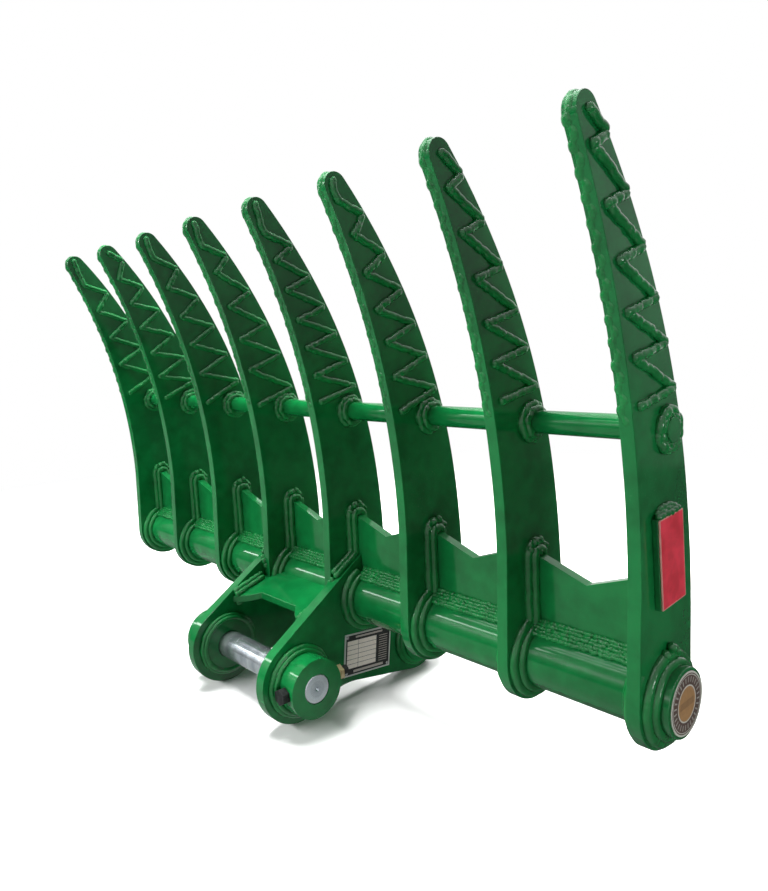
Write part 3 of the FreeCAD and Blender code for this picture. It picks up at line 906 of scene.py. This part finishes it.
@dataclass
class Welds:
    """Welds of one kind, laid as beads on a curve that becomes a painted piece of the frame."""

    places: Places
    material: bpy.types.Material

    def paint(self, curve: bpy.types.Curve, *nodes: str) -> None:
        """Makes a curve of beads a painted piece that stands for CAD nodes."""
        dress(as_mesh(curve), self.material, Slot.PAINT, Body.FRAME, *nodes)


@dataclass
class Plates:
    """The welded plates, tubes and bosses, with their cut edges rounded."""

    material: bpy.types.Material
    edge: float = 1.3 * MM
    boss_edge: float = 1.6 * MM

    def build(self) -> None:
        """Rounds and paints every plate."""
        for node in sorted(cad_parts):
            if node.startswith(("tine_", "web_plate_", "ear_", "saddle_", "tube_cap_", "badge_pad")):
                self.paint(node, self.edge)
            if "_boss_" in node or node in ("main_tube", "crossbar"):
                self.paint(node, self.boss_edge)

    def paint(self, node: str, radius: float) -> None:
        """Rounds and paints one plate."""
        dress(rounded_copy(node, radius), self.material, Slot.PAINT, Body.FRAME, node)


@dataclass(frozen=True)
class Zigzag:
    """Turns of one tine's zigzag bead: back turns from top to bottom, each with a front turn below it."""

    top: float
    bottom: float
    strokes: int
    drop: float
    looped: bool


@dataclass
class Hardfacing(Welds):
    """Zigzag beads on both faces of each tine and a rope bead along its front edge."""

    shape: TineShape = TineShape()
    patterns: tuple[Zigzag, ...] = (
        Zigzag(0.601, 0.397, 4, 0.042, True),
        Zigzag(0.654, 0.385, 6, 0.038, False),
        Zigzag(0.619, 0.383, 5, 0.038, True),
        Zigzag(0.619, 0.375, 5, 0.028, True),
        Zigzag(0.614, 0.376, 6, 0.023, True),
        Zigzag(0.630, 0.377, 6, 0.029, True),
        Zigzag(0.646, 0.384, 6, 0.016, False),
        Zigzag(0.649, 0.384, 6, 0.016, False))
    bead: Bead = Bead(6.4 * MM, pitch=9 * MM, ripple=0.035, swell=0.14, swell_length=16 * MM, wander=1.6 * MM)
    back_bead: Bead = Bead(
        7.2 * MM, pitch=8 * MM, ripple=0.05, swell=0.20, swell_length=13 * MM, wander=1.2 * MM)
    rope: Bead = Bead(8.2 * MM, pitch=13 * MM, ripple=0.20, swell=0.16, wander=0.6 * MM, weave=2.2 * MM)
    lift: float = 0.8 * MM
    front_inset: float = 16.0 * MM
    back_inset: float = 8.5 * MM
    overrun: float = 5.0 * MM
    rope_inset: float = 5.2 * MM
    rope_side: float = -2.2 * MM
    rope_start: float = 0.345
    unevenness: float = 4.0 * MM

    def turns(self, pattern: Zigzag, seed: int) -> list[tuple[float, float]]:
        """Turns of a zigzag, from the top down.

        Args:
            pattern: the tine's pattern.
            seed: number that makes each face uneven in its own way.

        Returns:
            Side-view points from the tube's axis.
        """
        def uneven(number: int) -> float:
            """Small offset for one turn."""
            return self.unevenness * noise.noise(Vector((number * 3.7, seed * 1.9, 0.5)))

        tip_y, tip_z = self.shape.tip
        if pattern.looped:
            first = pattern.top + 0.018
            points = [(tip_y - 0.006, tip_z + 0.012), (self.shape.front(first + 0.012) + 0.014, first + 0.012),
                      (self.shape.front(first) + self.front_inset * 0.85, first)]
        else:
            points = [(tip_y - 0.004, tip_z + 0.005)]
        spacing = (pattern.top - pattern.bottom) / (pattern.strokes - 1)
        for number in range(pattern.strokes):
            back_z = pattern.top - number * spacing + uneven(number)
            front_z = back_z - pattern.drop + uneven(number + 20)
            points.append((self.shape.back(back_z) - self.back_inset, back_z))
            points.append((self.shape.front(front_z) + self.front_inset + uneven(number + 40), front_z))
        return points

    def lay_zigzag(self, curve: bpy.types.Curve, pattern: Zigzag, x: float, seed: int) -> None:
        """Lays a tine face's zigzag stroke by stroke, with thicker strokes back to the front edge.

        Args:
            curve: the curve that takes the beads.
            pattern: the tine's pattern.
            x: the beads' middle along X.
            seed: number that makes each face uneven in its own way.
        """
        points = [self.places.at(x, y, z) for y, z in self.turns(pattern, seed)]
        lead = 3 if pattern.looped else 1
        self.bead.lay(curve, points[:lead + 1])
        for number, (start, end) in enumerate(zip(points[lead:], points[lead + 1:])):
            along = (end - start).normalized()
            if number % 2 == 0:
                self.back_bead.lay(curve, [start - along * self.lift, end + along * self.overrun])
            else:
                self.bead.lay(curve, [start, end])

    def rope_line(self, x: float) -> list[Vector]:
        """Line of the rope bead, just inside the front edge and over the tip.

        Args:
            x: the bead's place along X.

        Returns:
            Its points, from the bottom up.
        """
        centre = self.shape.front_centre()
        back_centre, _ = self.shape.back_arc()
        tip = Vector(self.shape.tip)
        inner = self.shape.front_radius + self.rope_inset
        start = math.degrees(math.asin((self.rope_start - centre.y) / inner))
        end = heading(tip - centre)
        radius = self.shape.tip_radius - self.rope_inset
        edge = self.places.circle(x, centre.x, centre.y, inner, start, end, 60)
        over = self.places.circle(x, tip.x, tip.y, radius, end + 180, heading(tip - back_centre), 24)
        return edge + over[1:]

    def build(self) -> None:
        """Lays every tine's beads, one piece for each tine."""
        for index, middle in enumerate(self.places.tine_middles):
            curve = new_curve("hardfacing_%d_beads" % (index + 1))
            for side in (-1, 1):
                x = middle + side * (self.places.tine_half + self.lift)
                self.lay_zigzag(curve, self.patterns[index], x, 2 * index + (side > 0))
            self.rope.lay(curve, self.rope_line(middle + self.rope_side))
            self.paint(curve, "hardfacing_%d" % (index + 1))


@dataclass
class CrossbarWelds(Welds):
    """Swollen collars where the crossbar meets each tine face."""

    root: Bead = Bead(8.4 * MM, pitch=9 * MM, ripple=0.06, swell=0.38, swell_length=13 * MM, wander=2.4 * MM)
    cap: Bead = Bead(7.6 * MM, pitch=9 * MM, ripple=0.06, swell=0.42, swell_length=12 * MM, wander=2.4 * MM)
    root_grow: float = 7.4 * MM
    root_off: float = 1.8 * MM
    cap_grow: float = 2.2 * MM
    cap_off: float = 8.0 * MM
    end_cap_off: float = 2.2 * MM

    def build(self) -> None:
        """Lays two passes at every face, the first from the tine and the second from the bar."""
        curve = new_curve("crossbar_weld_beads")
        for index, middle in enumerate(self.places.tine_middles):
            for side in (-1, 1):
                face = middle + side * self.places.tine_half
                cap_off = self.end_cap_off if side == self.places.end_side(index) else self.cap_off
                passes = ((self.root, self.root_grow, self.root_off), (self.cap, self.cap_grow, cap_off))
                for bead, grow, off in passes:
                    ring = self.places.circle(
                        face + side * off, 0, self.places.bar_height, self.places.bar_radius + grow,
                        start=100, end=460)
                    bead.lay(curve, ring, closed=True)
        self.paint(curve, "crossbar_welds")


@dataclass
class TubeWelds(Welds):
    """Double beads round the tube at each face, which run on over each web plate's top corner.

    The end stops are (y, z) from the tube's top, and the corner stops are (off the face, y, z, half length)
    from the web plate's top, all in millimetres.
    """

    outer: Bead = Bead(8.4 * MM, pitch=8 * MM, ripple=0.03, swell=0.16, swell_length=30 * MM, wander=1.0 * MM,
                       step=2 * MM, rounds=6)
    inner: Bead = Bead(7.4 * MM, pitch=8 * MM, ripple=0.03, swell=0.16, swell_length=30 * MM, wander=0.9 * MM,
                       step=2 * MM, rounds=6)
    lump: Bead = Bead(9.0 * MM, pitch=9 * MM, ripple=0.10, swell=0.30, swell_length=12 * MM, wander=1.5 * MM)
    outer_ring: float = 10.5 * MM
    inner_ring: float = 2.0 * MM
    end_stops: tuple[tuple[float, float], ...] = ((-10, 13), (4, 19), (13, 12))
    corner_stops: tuple[tuple[float, ...], ...] = (
        (4.5, -16, 4, 6), (5.5, -7, 14, 7), (5.0, 6, 16, 7), (5.0, 17, 4, 6), (8.0, -3, 1, 8), (8.0, 5, 2, 6))

    def loop(self, x: float, ring: float, course: CornerPass, ear: bool) -> list[Vector]:
        """Closed line round the tube and up both sides of the web plate.

        Args:
            x: the line's place along X.
            ring: its radius round the tube.
            course: its way over the web plate's top corner.
            ear: whether the line stays on the ear, below the web's corner.

        Returns:
            The line's corners.
        """
        places = self.places
        lean = math.degrees(math.acos(course.reach(places) / ring))
        around = places.circle(x, 0, 0, ring, 180 - lean, 360 + lean, 60)
        if ear:
            return around
        return around + [places.at(x, y, z) for y, z in course.over(places)]

    def faces(self) -> list[tuple[float, int, bool, bool]]:
        """Plate faces that the tube is welded to.

        Returns:
            Place, outward side, whether it is an ear and whether it is an end face, for each.
        """
        places = self.places
        result = []
        for index, middle in enumerate(places.tine_middles):
            for side in (-1, 1):
                x = middle + side * places.tine_half
                ear = abs(abs(x) - places.ear_inside) < MM and x * side > 0
                end = side == places.end_side(index)
                result.append((side * places.ear_outside if ear else x, side, ear, end))
        return result

    def build(self) -> None:
        """Lays the beads of every face."""
        curve = new_curve("tube_weld_beads")
        passes = ((self.outer, self.outer_ring, OUTER_PASS), (self.inner, self.inner_ring, INNER_PASS))
        for x, side, ear, end in self.faces():
            for bead, ring, course in passes:
                radius = self.places.tube_radius + ring
                if end:
                    line = self.places.circle(x + side * course.off, 0, 0, radius)
                else:
                    line = self.loop(x + side * course.off, radius, course, ear)
                bead.lay(curve, line, closed=end or not ear)
            if end:
                self.stop_at_end(curve, x, side)
            else:
                self.stop_at_corner(curve, side * self.places.ear_inside if ear else x, side)
        self.paint(curve, "tube_welds")

    def stop_at_end(self, curve: bpy.types.Curve, x: float, side: int) -> None:
        """Thick stops of weld above the tube on an end face.

        Args:
            curve: the curve that takes the beads.
            x: the face.
            side: the face's outward side.
        """
        for y, z in self.end_stops:
            height = self.places.tube_radius + z * MM
            start = self.places.at(x + side * 4 * MM, (y - 6) * MM, height)
            end = self.places.at(x + side * 5 * MM, (y + 6) * MM, height + 3 * MM)
            self.lump.lay(curve, [start, end])

    def stop_at_corner(self, curve: bpy.types.Curve, x: float, side: int) -> None:
        """Thick stops of weld over a web plate's top corner.

        Args:
            curve: the curve that takes the beads.
            x: the face beside the corner.
            side: the face's outward side.
        """
        for off, y, z, size in self.corner_stops:
            height = self.places.web_top + z * MM
            start = self.places.at(x + side * off * MM, (y - size * 0.6) * MM, height - size * 0.5 * MM)
            end = self.places.at(x + side * (off + 1) * MM, (y + size * 0.6) * MM, height + size * 0.4 * MM)
            self.lump.lay(curve, [start, end])


@dataclass
class WebWelds(Welds):
    """Five flat rippled passes along each web plate's foot, and one behind it.

    The passes are (in front of the plate, above the tube's axis).
    """

    bead: Bead = Bead(4.8 * MM, pitch=4.2 * MM, ripple=0.26, swell=0.40, swell_length=8 * MM, wander=1.7 * MM)
    outer_corner: Bead = Bead(
        8.2 * MM, pitch=8 * MM, ripple=0.03, swell=0.16, wander=1.0 * MM, step=2 * MM, rounds=6)
    inner_corner: Bead = Bead(
        7.2 * MM, pitch=8 * MM, ripple=0.03, swell=0.16, wander=0.9 * MM, step=2 * MM, rounds=6)
    passes: tuple[tuple[float, float], ...] = ((0.0008, 0.0550), (0.0044, 0.0515), (0.0080, 0.0478),
                                               (0.0114, 0.0440), (0.0146, 0.0402))
    back_height: float = 0.0470
    back_off: float = 2.0 * MM
    inset: float = 5.0 * MM
    ear_foot: float = 0.074

    def ends(self, index: int) -> tuple[float, float]:
        """Left and right plate faces beside a web plate, on the ear where there is one.

        Args:
            index: the web plate's number from 0.

        Returns:
            The two places along X.
        """
        places = self.places
        left = places.tine_middles[index] + places.tine_half
        right = places.tine_middles[index + 1] - places.tine_half
        if abs(left - places.ear_inside) < MM:
            left = places.ear_outside
        if abs(right + places.ear_inside) < MM:
            right = -places.ear_outside
        return left, right

    def build(self) -> None:
        """Lays the passes of every web plate, and the corner beads above the ears."""
        curve = new_curve("web_weld_beads")
        half = self.places.web_half
        lines = [(-half - away, height) for away, height in self.passes]
        lines.append((half + self.back_off, self.back_height))
        for index in range(self.places.last):
            left, right = self.ends(index)
            for y, z in lines:
                self.bead.lay(curve, [self.places.at(left + self.inset, y, z),
                                      self.places.at(right - self.inset, y, z)])
        for side in (-1, 1):
            self.above_ear(curve, side)
        self.paint(curve, "web_welds")

    def above_ear(self, curve: bpy.types.Curve, side: int) -> None:
        """Double bead over a web plate's end where it stands above an ear.

        Args:
            curve: the curve that takes the beads.
            side: -1 for the left ear, 1 for the right.
        """
        for bead, course in ((self.outer_corner, OUTER_PASS), (self.inner_corner, INNER_PASS)):
            x = side * (self.places.ear_inside + course.off)
            reach = course.reach(self.places)
            line = [(-reach, self.ear_foot)] + course.over(self.places)[::-1] + [(reach, self.ear_foot)]
            bead.lay(curve, [self.places.at(x, y, z) for y, z in line])


@dataclass
class HitchWelds(Welds):
    """Rings round the bosses, beads along the saddle plate and beads along the ears' top edges.

    The rings are (beyond the boss's radius, off the ear's face), the saddle and ear seams are (off the ear's
    inner face, above the plate's edge), and the front stops are (off that face, y, below the edge, half
    length) in millimetres.
    """

    ring: Bead = Bead(6.4 * MM, pitch=7 * MM, ripple=0.06, swell=0.18, wander=0.9 * MM)
    inner_ring: Bead = Bead(5.4 * MM, pitch=6 * MM, ripple=0.06, swell=0.16, wander=0.7 * MM)
    fillet: Bead = Bead(7.4 * MM, pitch=7 * MM, ripple=0.08, swell=0.20, wander=1.0 * MM)
    seam: Bead = Bead(7.2 * MM, pitch=9 * MM, ripple=0.12, swell=0.34, swell_length=12 * MM, wander=1.9 * MM)
    lump: Bead = Bead(6.8 * MM, pitch=9 * MM, ripple=0.10, swell=0.30, swell_length=12 * MM, wander=1.2 * MM)
    ear_top_angle: float = 32.6
    ear_front_radius: float = 0.0735
    saddle_angle: float = 17.4
    saddle_top: tuple[float, float] = (-0.042, 0.014)
    saddle_back: float = -0.072
    saddle_front: float = -0.141
    saddle_drop: float = 16.0 * MM
    ear_seam: tuple[float, float] = (-0.063, -0.010)
    outside_rings: tuple[tuple[float, float], ...] = ((7.2 * MM, 2.4 * MM), (2.2 * MM, 7.8 * MM))
    inside_rings: tuple[tuple[float, float], ...] = ((5.2 * MM, 2.6 * MM), (0.6 * MM, 6.2 * MM))
    saddle_seams: tuple[tuple[float, float], ...] = ((3.0 * MM, 8.6 * MM), (8.4 * MM, 3.0 * MM))
    ear_seams: tuple[tuple[float, float], ...] = ((3.0 * MM, 9.0 * MM), (8.8 * MM, 3.0 * MM))
    front_stops: tuple[tuple[float, ...], ...] = (
        (4.0, -64.0, 1.0, 6.0), (-2.0, -65.5, 7.0, 7.0), (-4.0, -64.0, 18.0, 7.0))

    def ear_edge(self, y: float) -> float:
        """Height of the ear's rising top edge.

        Args:
            y: the place along Y from the tube's axis.

        Returns:
            The height above that axis.
        """
        turn = math.radians(self.ear_top_angle)
        start_y = -self.ear_front_radius * math.sin(turn) - self.places.tube.y
        start_z = self.ear_front_radius * math.cos(turn) - self.places.tube.z
        return start_z + (y - start_y) * math.tan(turn)

    def saddle_height(self, y: float) -> float:
        """Height of the saddle plate's top face, both from the tube's axis."""
        return self.saddle_top[1] + (y - self.saddle_top[0]) * math.tan(math.radians(self.saddle_angle))

    def build(self) -> None:
        """Lays every bead of the hitch."""
        curve = new_curve("hitch_weld_beads")
        for side in (-1, 1):
            for place in ("front", "rear"):
                self.boss_rings(curve, place, side)
            self.saddle(curve, side)
            self.ear_top(curve, side)
        self.paint(curve, "hitch_welds")

    def boss_rings(self, curve: bpy.types.Curve, place: str, side: int) -> None:
        """Rings outside and inside one ear, round one of its bosses.

        Args:
            curve: the curve that takes the beads.
            place: "front" or "rear".
            side: -1 for the left ear, 1 for the right.
        """
        name = "left" if side < 0 else "right"
        low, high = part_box("%s_boss_outer_%s" % (place, name))
        middle = (low + high) / 2 - self.places.tube
        radius = (high.z - low.z) / 2
        for bead, (grow, off) in zip((self.ring, self.inner_ring), self.outside_rings):
            x = side * (self.places.ear_outside + off)
            bead.lay(curve, self.places.circle(x, middle.y, middle.z, radius + grow), closed=True)
        for grow, off in self.inside_rings:
            x = side * (self.places.ear_inside - off)
            self.inner_ring.lay(curve, self.places.circle(x, middle.y, middle.z, radius + grow), closed=True)

    def saddle(self, curve: bpy.types.Curve, side: int) -> None:
        """Two beads over the saddle plate's edge on an ear and one below it.

        Args:
            curve: the curve that takes the beads.
            side: -1 for the left ear, 1 for the right.
        """
        for off, rise in self.saddle_seams:
            x = side * (self.places.ear_inside - off)
            ends = (self.saddle_back, self.saddle_front + 2 * MM)
            self.seam.lay(curve, [self.places.at(x, y, self.saddle_height(y) + rise) for y in ends])
        x = side * (self.places.ear_inside - 4 * MM)
        ends = (self.saddle_back, self.saddle_front + 4 * MM)
        self.fillet.lay(curve, [self.places.at(x, y, self.saddle_height(y) - self.saddle_drop) for y in ends])

    def ear_top(self, curve: bpy.types.Curve, side: int) -> None:
        """Double bead where an ear's top edge meets its tine, and stops of weld at the tine's front edge.

        Args:
            curve: the curve that takes the beads.
            side: -1 for the left ear, 1 for the right.
        """
        for off, rise in self.ear_seams:
            x = side * (self.places.ear_inside + off)
            self.fillet.lay(curve, [self.places.at(x, y, self.ear_edge(y) + rise) for y in self.ear_seam])
        for off, y, drop, reach in self.front_stops:
            x = side * (self.places.ear_inside + off * MM)
            height = self.ear_edge(y * MM) - drop * MM
            ends = (height - reach * MM, height + reach * MM)
            self.lump.lay(curve, [self.places.at(x, y * MM, z) for z in ends])


@dataclass
class PadWeld(Welds):
    """Lumpy weld along the top edge of the badge's pad. Its passes are (off the tine, above the pad, inset)."""

    tilt: float = 4.6
    half_width: float = 0.028
    half_height: float = 0.057
    bead: Bead = Bead(5.6 * MM, pitch=9 * MM, ripple=0.16, swell=0.36, swell_length=10 * MM, wander=1.4 * MM)
    passes: tuple[tuple[float, ...], ...] = (
        (1.5 * MM, 7.5 * MM, 12 * MM), (3.0 * MM, 4.5 * MM, 4 * MM), (6.0 * MM, 1.0 * MM, 1 * MM))

    def build(self) -> None:
        """Lays three short passes, one over the other, on the tine's face."""
        low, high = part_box("badge_pad")
        middle = (low + high) / 2
        turn = math.radians(self.tilt)
        curve = new_curve("badge_pad_weld_bead")
        for off, rise, inset in self.passes:
            line = []
            for across in (inset - self.half_width, self.half_width - inset):
                up = self.half_height + rise
                line.append(Vector((low.x + off, middle.y + across * math.cos(turn) - up * math.sin(turn),
                                    middle.z + across * math.sin(turn) + up * math.cos(turn))))
            self.bead.lay(curve, line)
        self.paint(curve)


@dataclass
class Hitch:
    """Pins, bolts, nuts and washers."""

    steel_edge: float = 0.8 * MM
    bolt_edge: float = 0.7 * MM
    washer_edge: float = 0.4 * MM

    def build(self) -> None:
        """Dresses every moving piece on its own body."""
        black = Fastener("black_bolt", colour(52, 54, 54), colour(24, 26, 26), 0.6, 0.38, 2.0 * MM).material()
        zinc = Fastener("zinc_nut", colour(206, 190, 150), colour(168, 148, 108), 0.55, 0.36).material()
        for place, pin_body, bolt_body, nut_body in (
                ("front", Body.FRONT_PIN, Body.FRONT_BOLT, Body.FRONT_NUT),
                ("rear", Body.REAR_PIN, Body.REAR_BOLT, Body.REAR_NUT)):
            low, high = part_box(place + "_pin")
            middle = (low + high) / 2
            steel = TurnedSteel(place + "_pin_steel", (middle.y, middle.z)).material()
            self.dress_one(place + "_pin", steel, Slot.STEEL, pin_body, self.steel_edge)
            self.dress_one(place + "_pin_bolt", black, Slot.BOLT, bolt_body, self.bolt_edge)
            self.dress_one(place + "_pin_nut", zinc, Slot.NUT, nut_body, self.bolt_edge)
            self.dress_one(place + "_pin_washer", zinc, Slot.NUT, nut_body, self.washer_edge)

    @staticmethod
    def dress_one(node: str, material: bpy.types.Material, slot: Slot, body: Body, radius: float) -> None:
        """Rounds and dresses one piece."""
        dress(rounded_copy(node, radius), material, slot, body, node)


@dataclass
class Labels:
    """Data plate with its rivets, badge and end disc."""

    data_tilt: float = -6.9
    badge_tilt: float = 4.6

    def build(self) -> None:
        """Dresses the plates on their places."""
        self.plate("data_plate", Slot.DATA, PrintedPlate, 0.3 * MM, tilt=self.data_tilt)
        self.plate("badge_plate", Slot.BADGE, RedEnamel, 0.5 * MM, tilt=self.badge_tilt)
        self.plate("end_disc", Slot.DISC, RingedDisc, 0.2 * MM)
        rivet = Fastener("rivet_metal", colour(190, 192, 188), colour(150, 152, 150), 0.9, 0.3).material()
        dress(rounded_copy("data_plate_rivets", 0.15 * MM), rivet, Slot.RIVET, Body.FRAME, "data_plate_rivets")

    @staticmethod
    def plate(node: str, slot: Slot, finish: Callable, radius: float, **settings: float) -> None:
        """Dresses one plate with a finish centred on it.

        Args:
            node: the CAD node.
            slot: the slot, whose name the material takes.
            finish: the finish's class.
            radius: the rounding of its edges.
            settings: more of the finish's fields.
        """
        low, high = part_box(node)
        middle = (low + high) / 2
        material = finish(slot.value, (middle.y, middle.z), **settings).material()
        dress(rounded_copy(node, radius), material, slot, Body.FRAME, node)


# Studio


@dataclass
class Studio:
    """Floor, soft lamps, pale surroundings and the camera."""

    floor_z: float
    camera_place: tuple[float, float, float] = (1.0977, -0.6591, 0.5599)
    camera_right: tuple[float, float, float] = (0.67468, 0.73643, -0.04995)
    camera_forward: tuple[float, float, float] = (-0.73525, 0.66455, -0.13336)
    lens: float = 34.11
    shift_y: float = -0.0094
    floor_radius: float = 14.0
    full_glow: float = 20.0
    glow_colour: tuple[float, float, float, float] = (0.94, 1.0, 0.97, 1.0)

    def build(self) -> None:
        """Sets the stage."""
        self.floor()
        self.world()
        self.lamp("key", (-1.9, -3.3, 1.9), (0.0, 0.1, 0.3), (3.4, 0.5), 180)
        self.lamp("top", (-0.7, 0.2, 2.9), (0.0, 0.15, 0.3), (1.6, 1.2), 195, mirrored=False)
        self.lamp("back", (-0.4, 2.2, 2.5), (0.0, 0.15, 0.4), (1.4, 0.8), 90, mirrored=False)
        self.lamp("side", (3.2, 0.3, 0.5), (0.7, 0.15, 0.3), (0.6, 0.6), 18)
        self.card("right_card", (2.2, 1.9, 0.93), (4.2, 2.0), (90, 123), self.right_glow)
        self.card("front_card", (-1.8, -1.9, 1.53), (4.2, 3.2), (90, 132), self.front_glow)
        self.card("top_card", (-0.5, 0.2, 3.0), (4.4, 4.4), (0, 0), self.top_glow)
        self.card("floor_card", (0.0, 0.0, self.floor_z + 0.002), (6.0, 6.0), (0, 0), self.floor_glow)
        self.camera()

    def floor(self) -> None:
        """Round pale floor that turns plain white far from the rake."""
        bpy.ops.mesh.primitive_circle_add(
            vertices=96, radius=self.floor_radius, fill_type="NGON", location=(0, 0, self.floor_z))
        floor = bpy.context.object
        floor.name = "floor"
        bpy.ops.object.transform_apply(location=True, rotation=True, scale=True)
        shader = new_shader("pale_floor")
        x, y, _ = shader.axes()
        far = ((x * x + y * y).math("SQRT")).smooth(1.2, 2.8)
        seen = shader.seen()
        tone = shader.mix(shader.noise(3, 3), colour(255, 255, 255), colour(250, 250, 250))
        tone = shader.mix(seen, colour(160, 160, 160), tone)
        near = shader.value("ShaderNodeBsdfDiffuse", {}, {"Color": tone})
        white = shader.value("ShaderNodeEmission", {}, {"Color": (1, 1, 1, 1), "Strength": 1.0})
        surface = shader.value("ShaderNodeMixShader", {}, {0: far * seen, 1: near, 2: white})
        floor.data.materials.append(shader.finish(surface))

    @staticmethod
    def world() -> None:
        """White to the camera and to reflections, dimmer as a light."""
        world = bpy.data.worlds.new("surroundings")
        bpy.context.scene.world = world
        shader = Shader(world)
        strength = 0.16 + 0.84 * shader.seen()
        surface = shader.value("ShaderNodeBackground", {}, {"Color": (1, 1, 1, 1), "Strength": strength})
        shader.finish(surface)

    @staticmethod
    def lamp(name: str, place: tuple, target: tuple, size: tuple, power: float, mirrored: bool = True) -> None:
        """Rectangular soft lamp.

        Args:
            name: its name.
            place: where it hangs.
            target: the point that it faces.
            size: its width and height.
            power: its power in watts.
            mirrored: whether glossy surfaces show it.
        """
        data = bpy.data.lights.new(name, "AREA")
        data.shape = "RECTANGLE"
        data.size, data.size_y = size
        data.energy = power
        lamp = bpy.data.objects.new(name, data)
        bpy.context.scene.collection.objects.link(lamp)
        lamp.location = place
        lamp.rotation_euler = (Vector(target) - Vector(place)).to_track_quat("-Z", "Y").to_euler()
        lamp.visible_glossy = mirrored

    @staticmethod
    def right_glow(shader: Shader) -> Value:
        """Glow that the rake's right faces reflect: brighter with height and behind the last tine."""
        x, _, z = shader.axes()
        return 0.06 + 0.40 * z.smooth(0.0, 1.2) + 0.26 * (1.0 - x.smooth(1.5, 2.3))

    @staticmethod
    def front_glow(shader: Shader) -> Value:
        """Glow that the rake's front reflects, with a bright slanting strip like a lamp tube.

        Args:
            shader: the card's shader.

        Returns:
            The glow.
        """
        x, _, z = shader.axes()
        strip = abs(z - 4.0 - 1.1 * x).below(0.13) * x.between(-2.6, -1.5)
        return 0.06 + 0.40 * z.smooth(0.0, 1.2) + 11.0 * strip

    @staticmethod
    def top_glow(shader: Shader) -> Value:
        """Glow of a ceiling with narrow lamp tubes, which gives weld beads their small highlights."""
        _, y, _ = shader.axes()
        return 0.7 + 10.0 * (y * 1.7).math("FRACT").below(0.13)

    @staticmethod
    def floor_glow(shader: Shader) -> Value:
        """Glow of the floor near the rake: brighter in front, darker in its own shadow."""
        _, y, _ = shader.axes()
        return 0.10 + 0.40 * (1.0 - y.smooth(0.06, 0.20))

    def card(self, name: str, place: tuple, size: tuple, turn: tuple, glow: Callable) -> None:
        """Dim card that only reflections see, so that glossy paint keeps its depth.

        Args:
            name: its name.
            place: its middle.
            size: its width and height.
            turn: degrees about X and then about Z, from lying on its back.
            glow: its brightness up to the full glow, worked out on its shader.
        """
        bpy.ops.mesh.primitive_plane_add(size=1.0, location=place)
        card = bpy.context.object
        card.name = name
        card.scale = (size[0], size[1], 1.0)
        card.rotation_euler = (math.radians(turn[0]), 0.0, math.radians(turn[1]))
        bpy.ops.object.transform_apply(location=True, rotation=True, scale=True)
        card.visible_camera = False
        card.visible_diffuse = False
        card.visible_shadow = False
        shader = new_shader(name)
        inputs = {"Color": self.glow_colour, "Strength": self.full_glow}
        lit = shader.value("ShaderNodeEmission", {}, inputs)
        surface = shader.value("ShaderNodeMixShader", {}, {0: glow(shader) / self.full_glow, 2: lit})
        card.data.materials.append(shader.finish(surface))

    def camera(self) -> None:
        """Camera at the photograph's viewpoint."""
        data = bpy.data.cameras.new("camera")
        data.sensor_fit = "HORIZONTAL"
        data.sensor_width = 36.0
        data.lens = self.lens
        data.shift_y = self.shift_y
        data.clip_end = 100.0
        camera = bpy.data.objects.new("camera", data)
        bpy.context.scene.collection.objects.link(camera)
        right = Vector(self.camera_right).normalized()
        forward = Vector(self.camera_forward).normalized()
        up = right.cross(forward)
        turn = Matrix((right, up, -forward)).transposed().to_4x4()
        camera.matrix_world = Matrix.Translation(self.camera_place) @ turn
        bpy.context.scene.camera = camera


def main() -> None:
    """Builds the rake's looks and its stage."""
    logging.basicConfig(level=logging.INFO, format="%(name)s %(message)s")
    bpy.context.scene.view_settings.view_transform = "Standard"
    noise.seed_set(NOISE_SEED)
    places = Places.read()
    plate_paint = GreenEnamel("green_paint").material()
    # Paint of the welds: the plate enamel, thicker, rougher and rippled, with lighter colours as a painted
    # highlight where the round beads catch the light.
    weld_paint_and_highlight = GreenEnamel(
        "weld_paint_and_highlight", light=colour(22, 128, 62), deep=colour(11, 100, 46), roughness=0.10, peel=0.12,
        ripple=0.18).material()
    Plates(plate_paint).build()
    Hardfacing(places, weld_paint_and_highlight).build()
    CrossbarWelds(places, weld_paint_and_highlight).build()
    TubeWelds(places, weld_paint_and_highlight).build()
    WebWelds(places, weld_paint_and_highlight).build()
    HitchWelds(places, weld_paint_and_highlight).build()
    PadWeld(places, weld_paint_and_highlight).build()
    Hitch().build()
    Labels().build()
    Studio(floor_z=min(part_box(name)[0].z for name in ("ear_left", "ear_right"))).build()


if __name__ == "__main__":
    main()
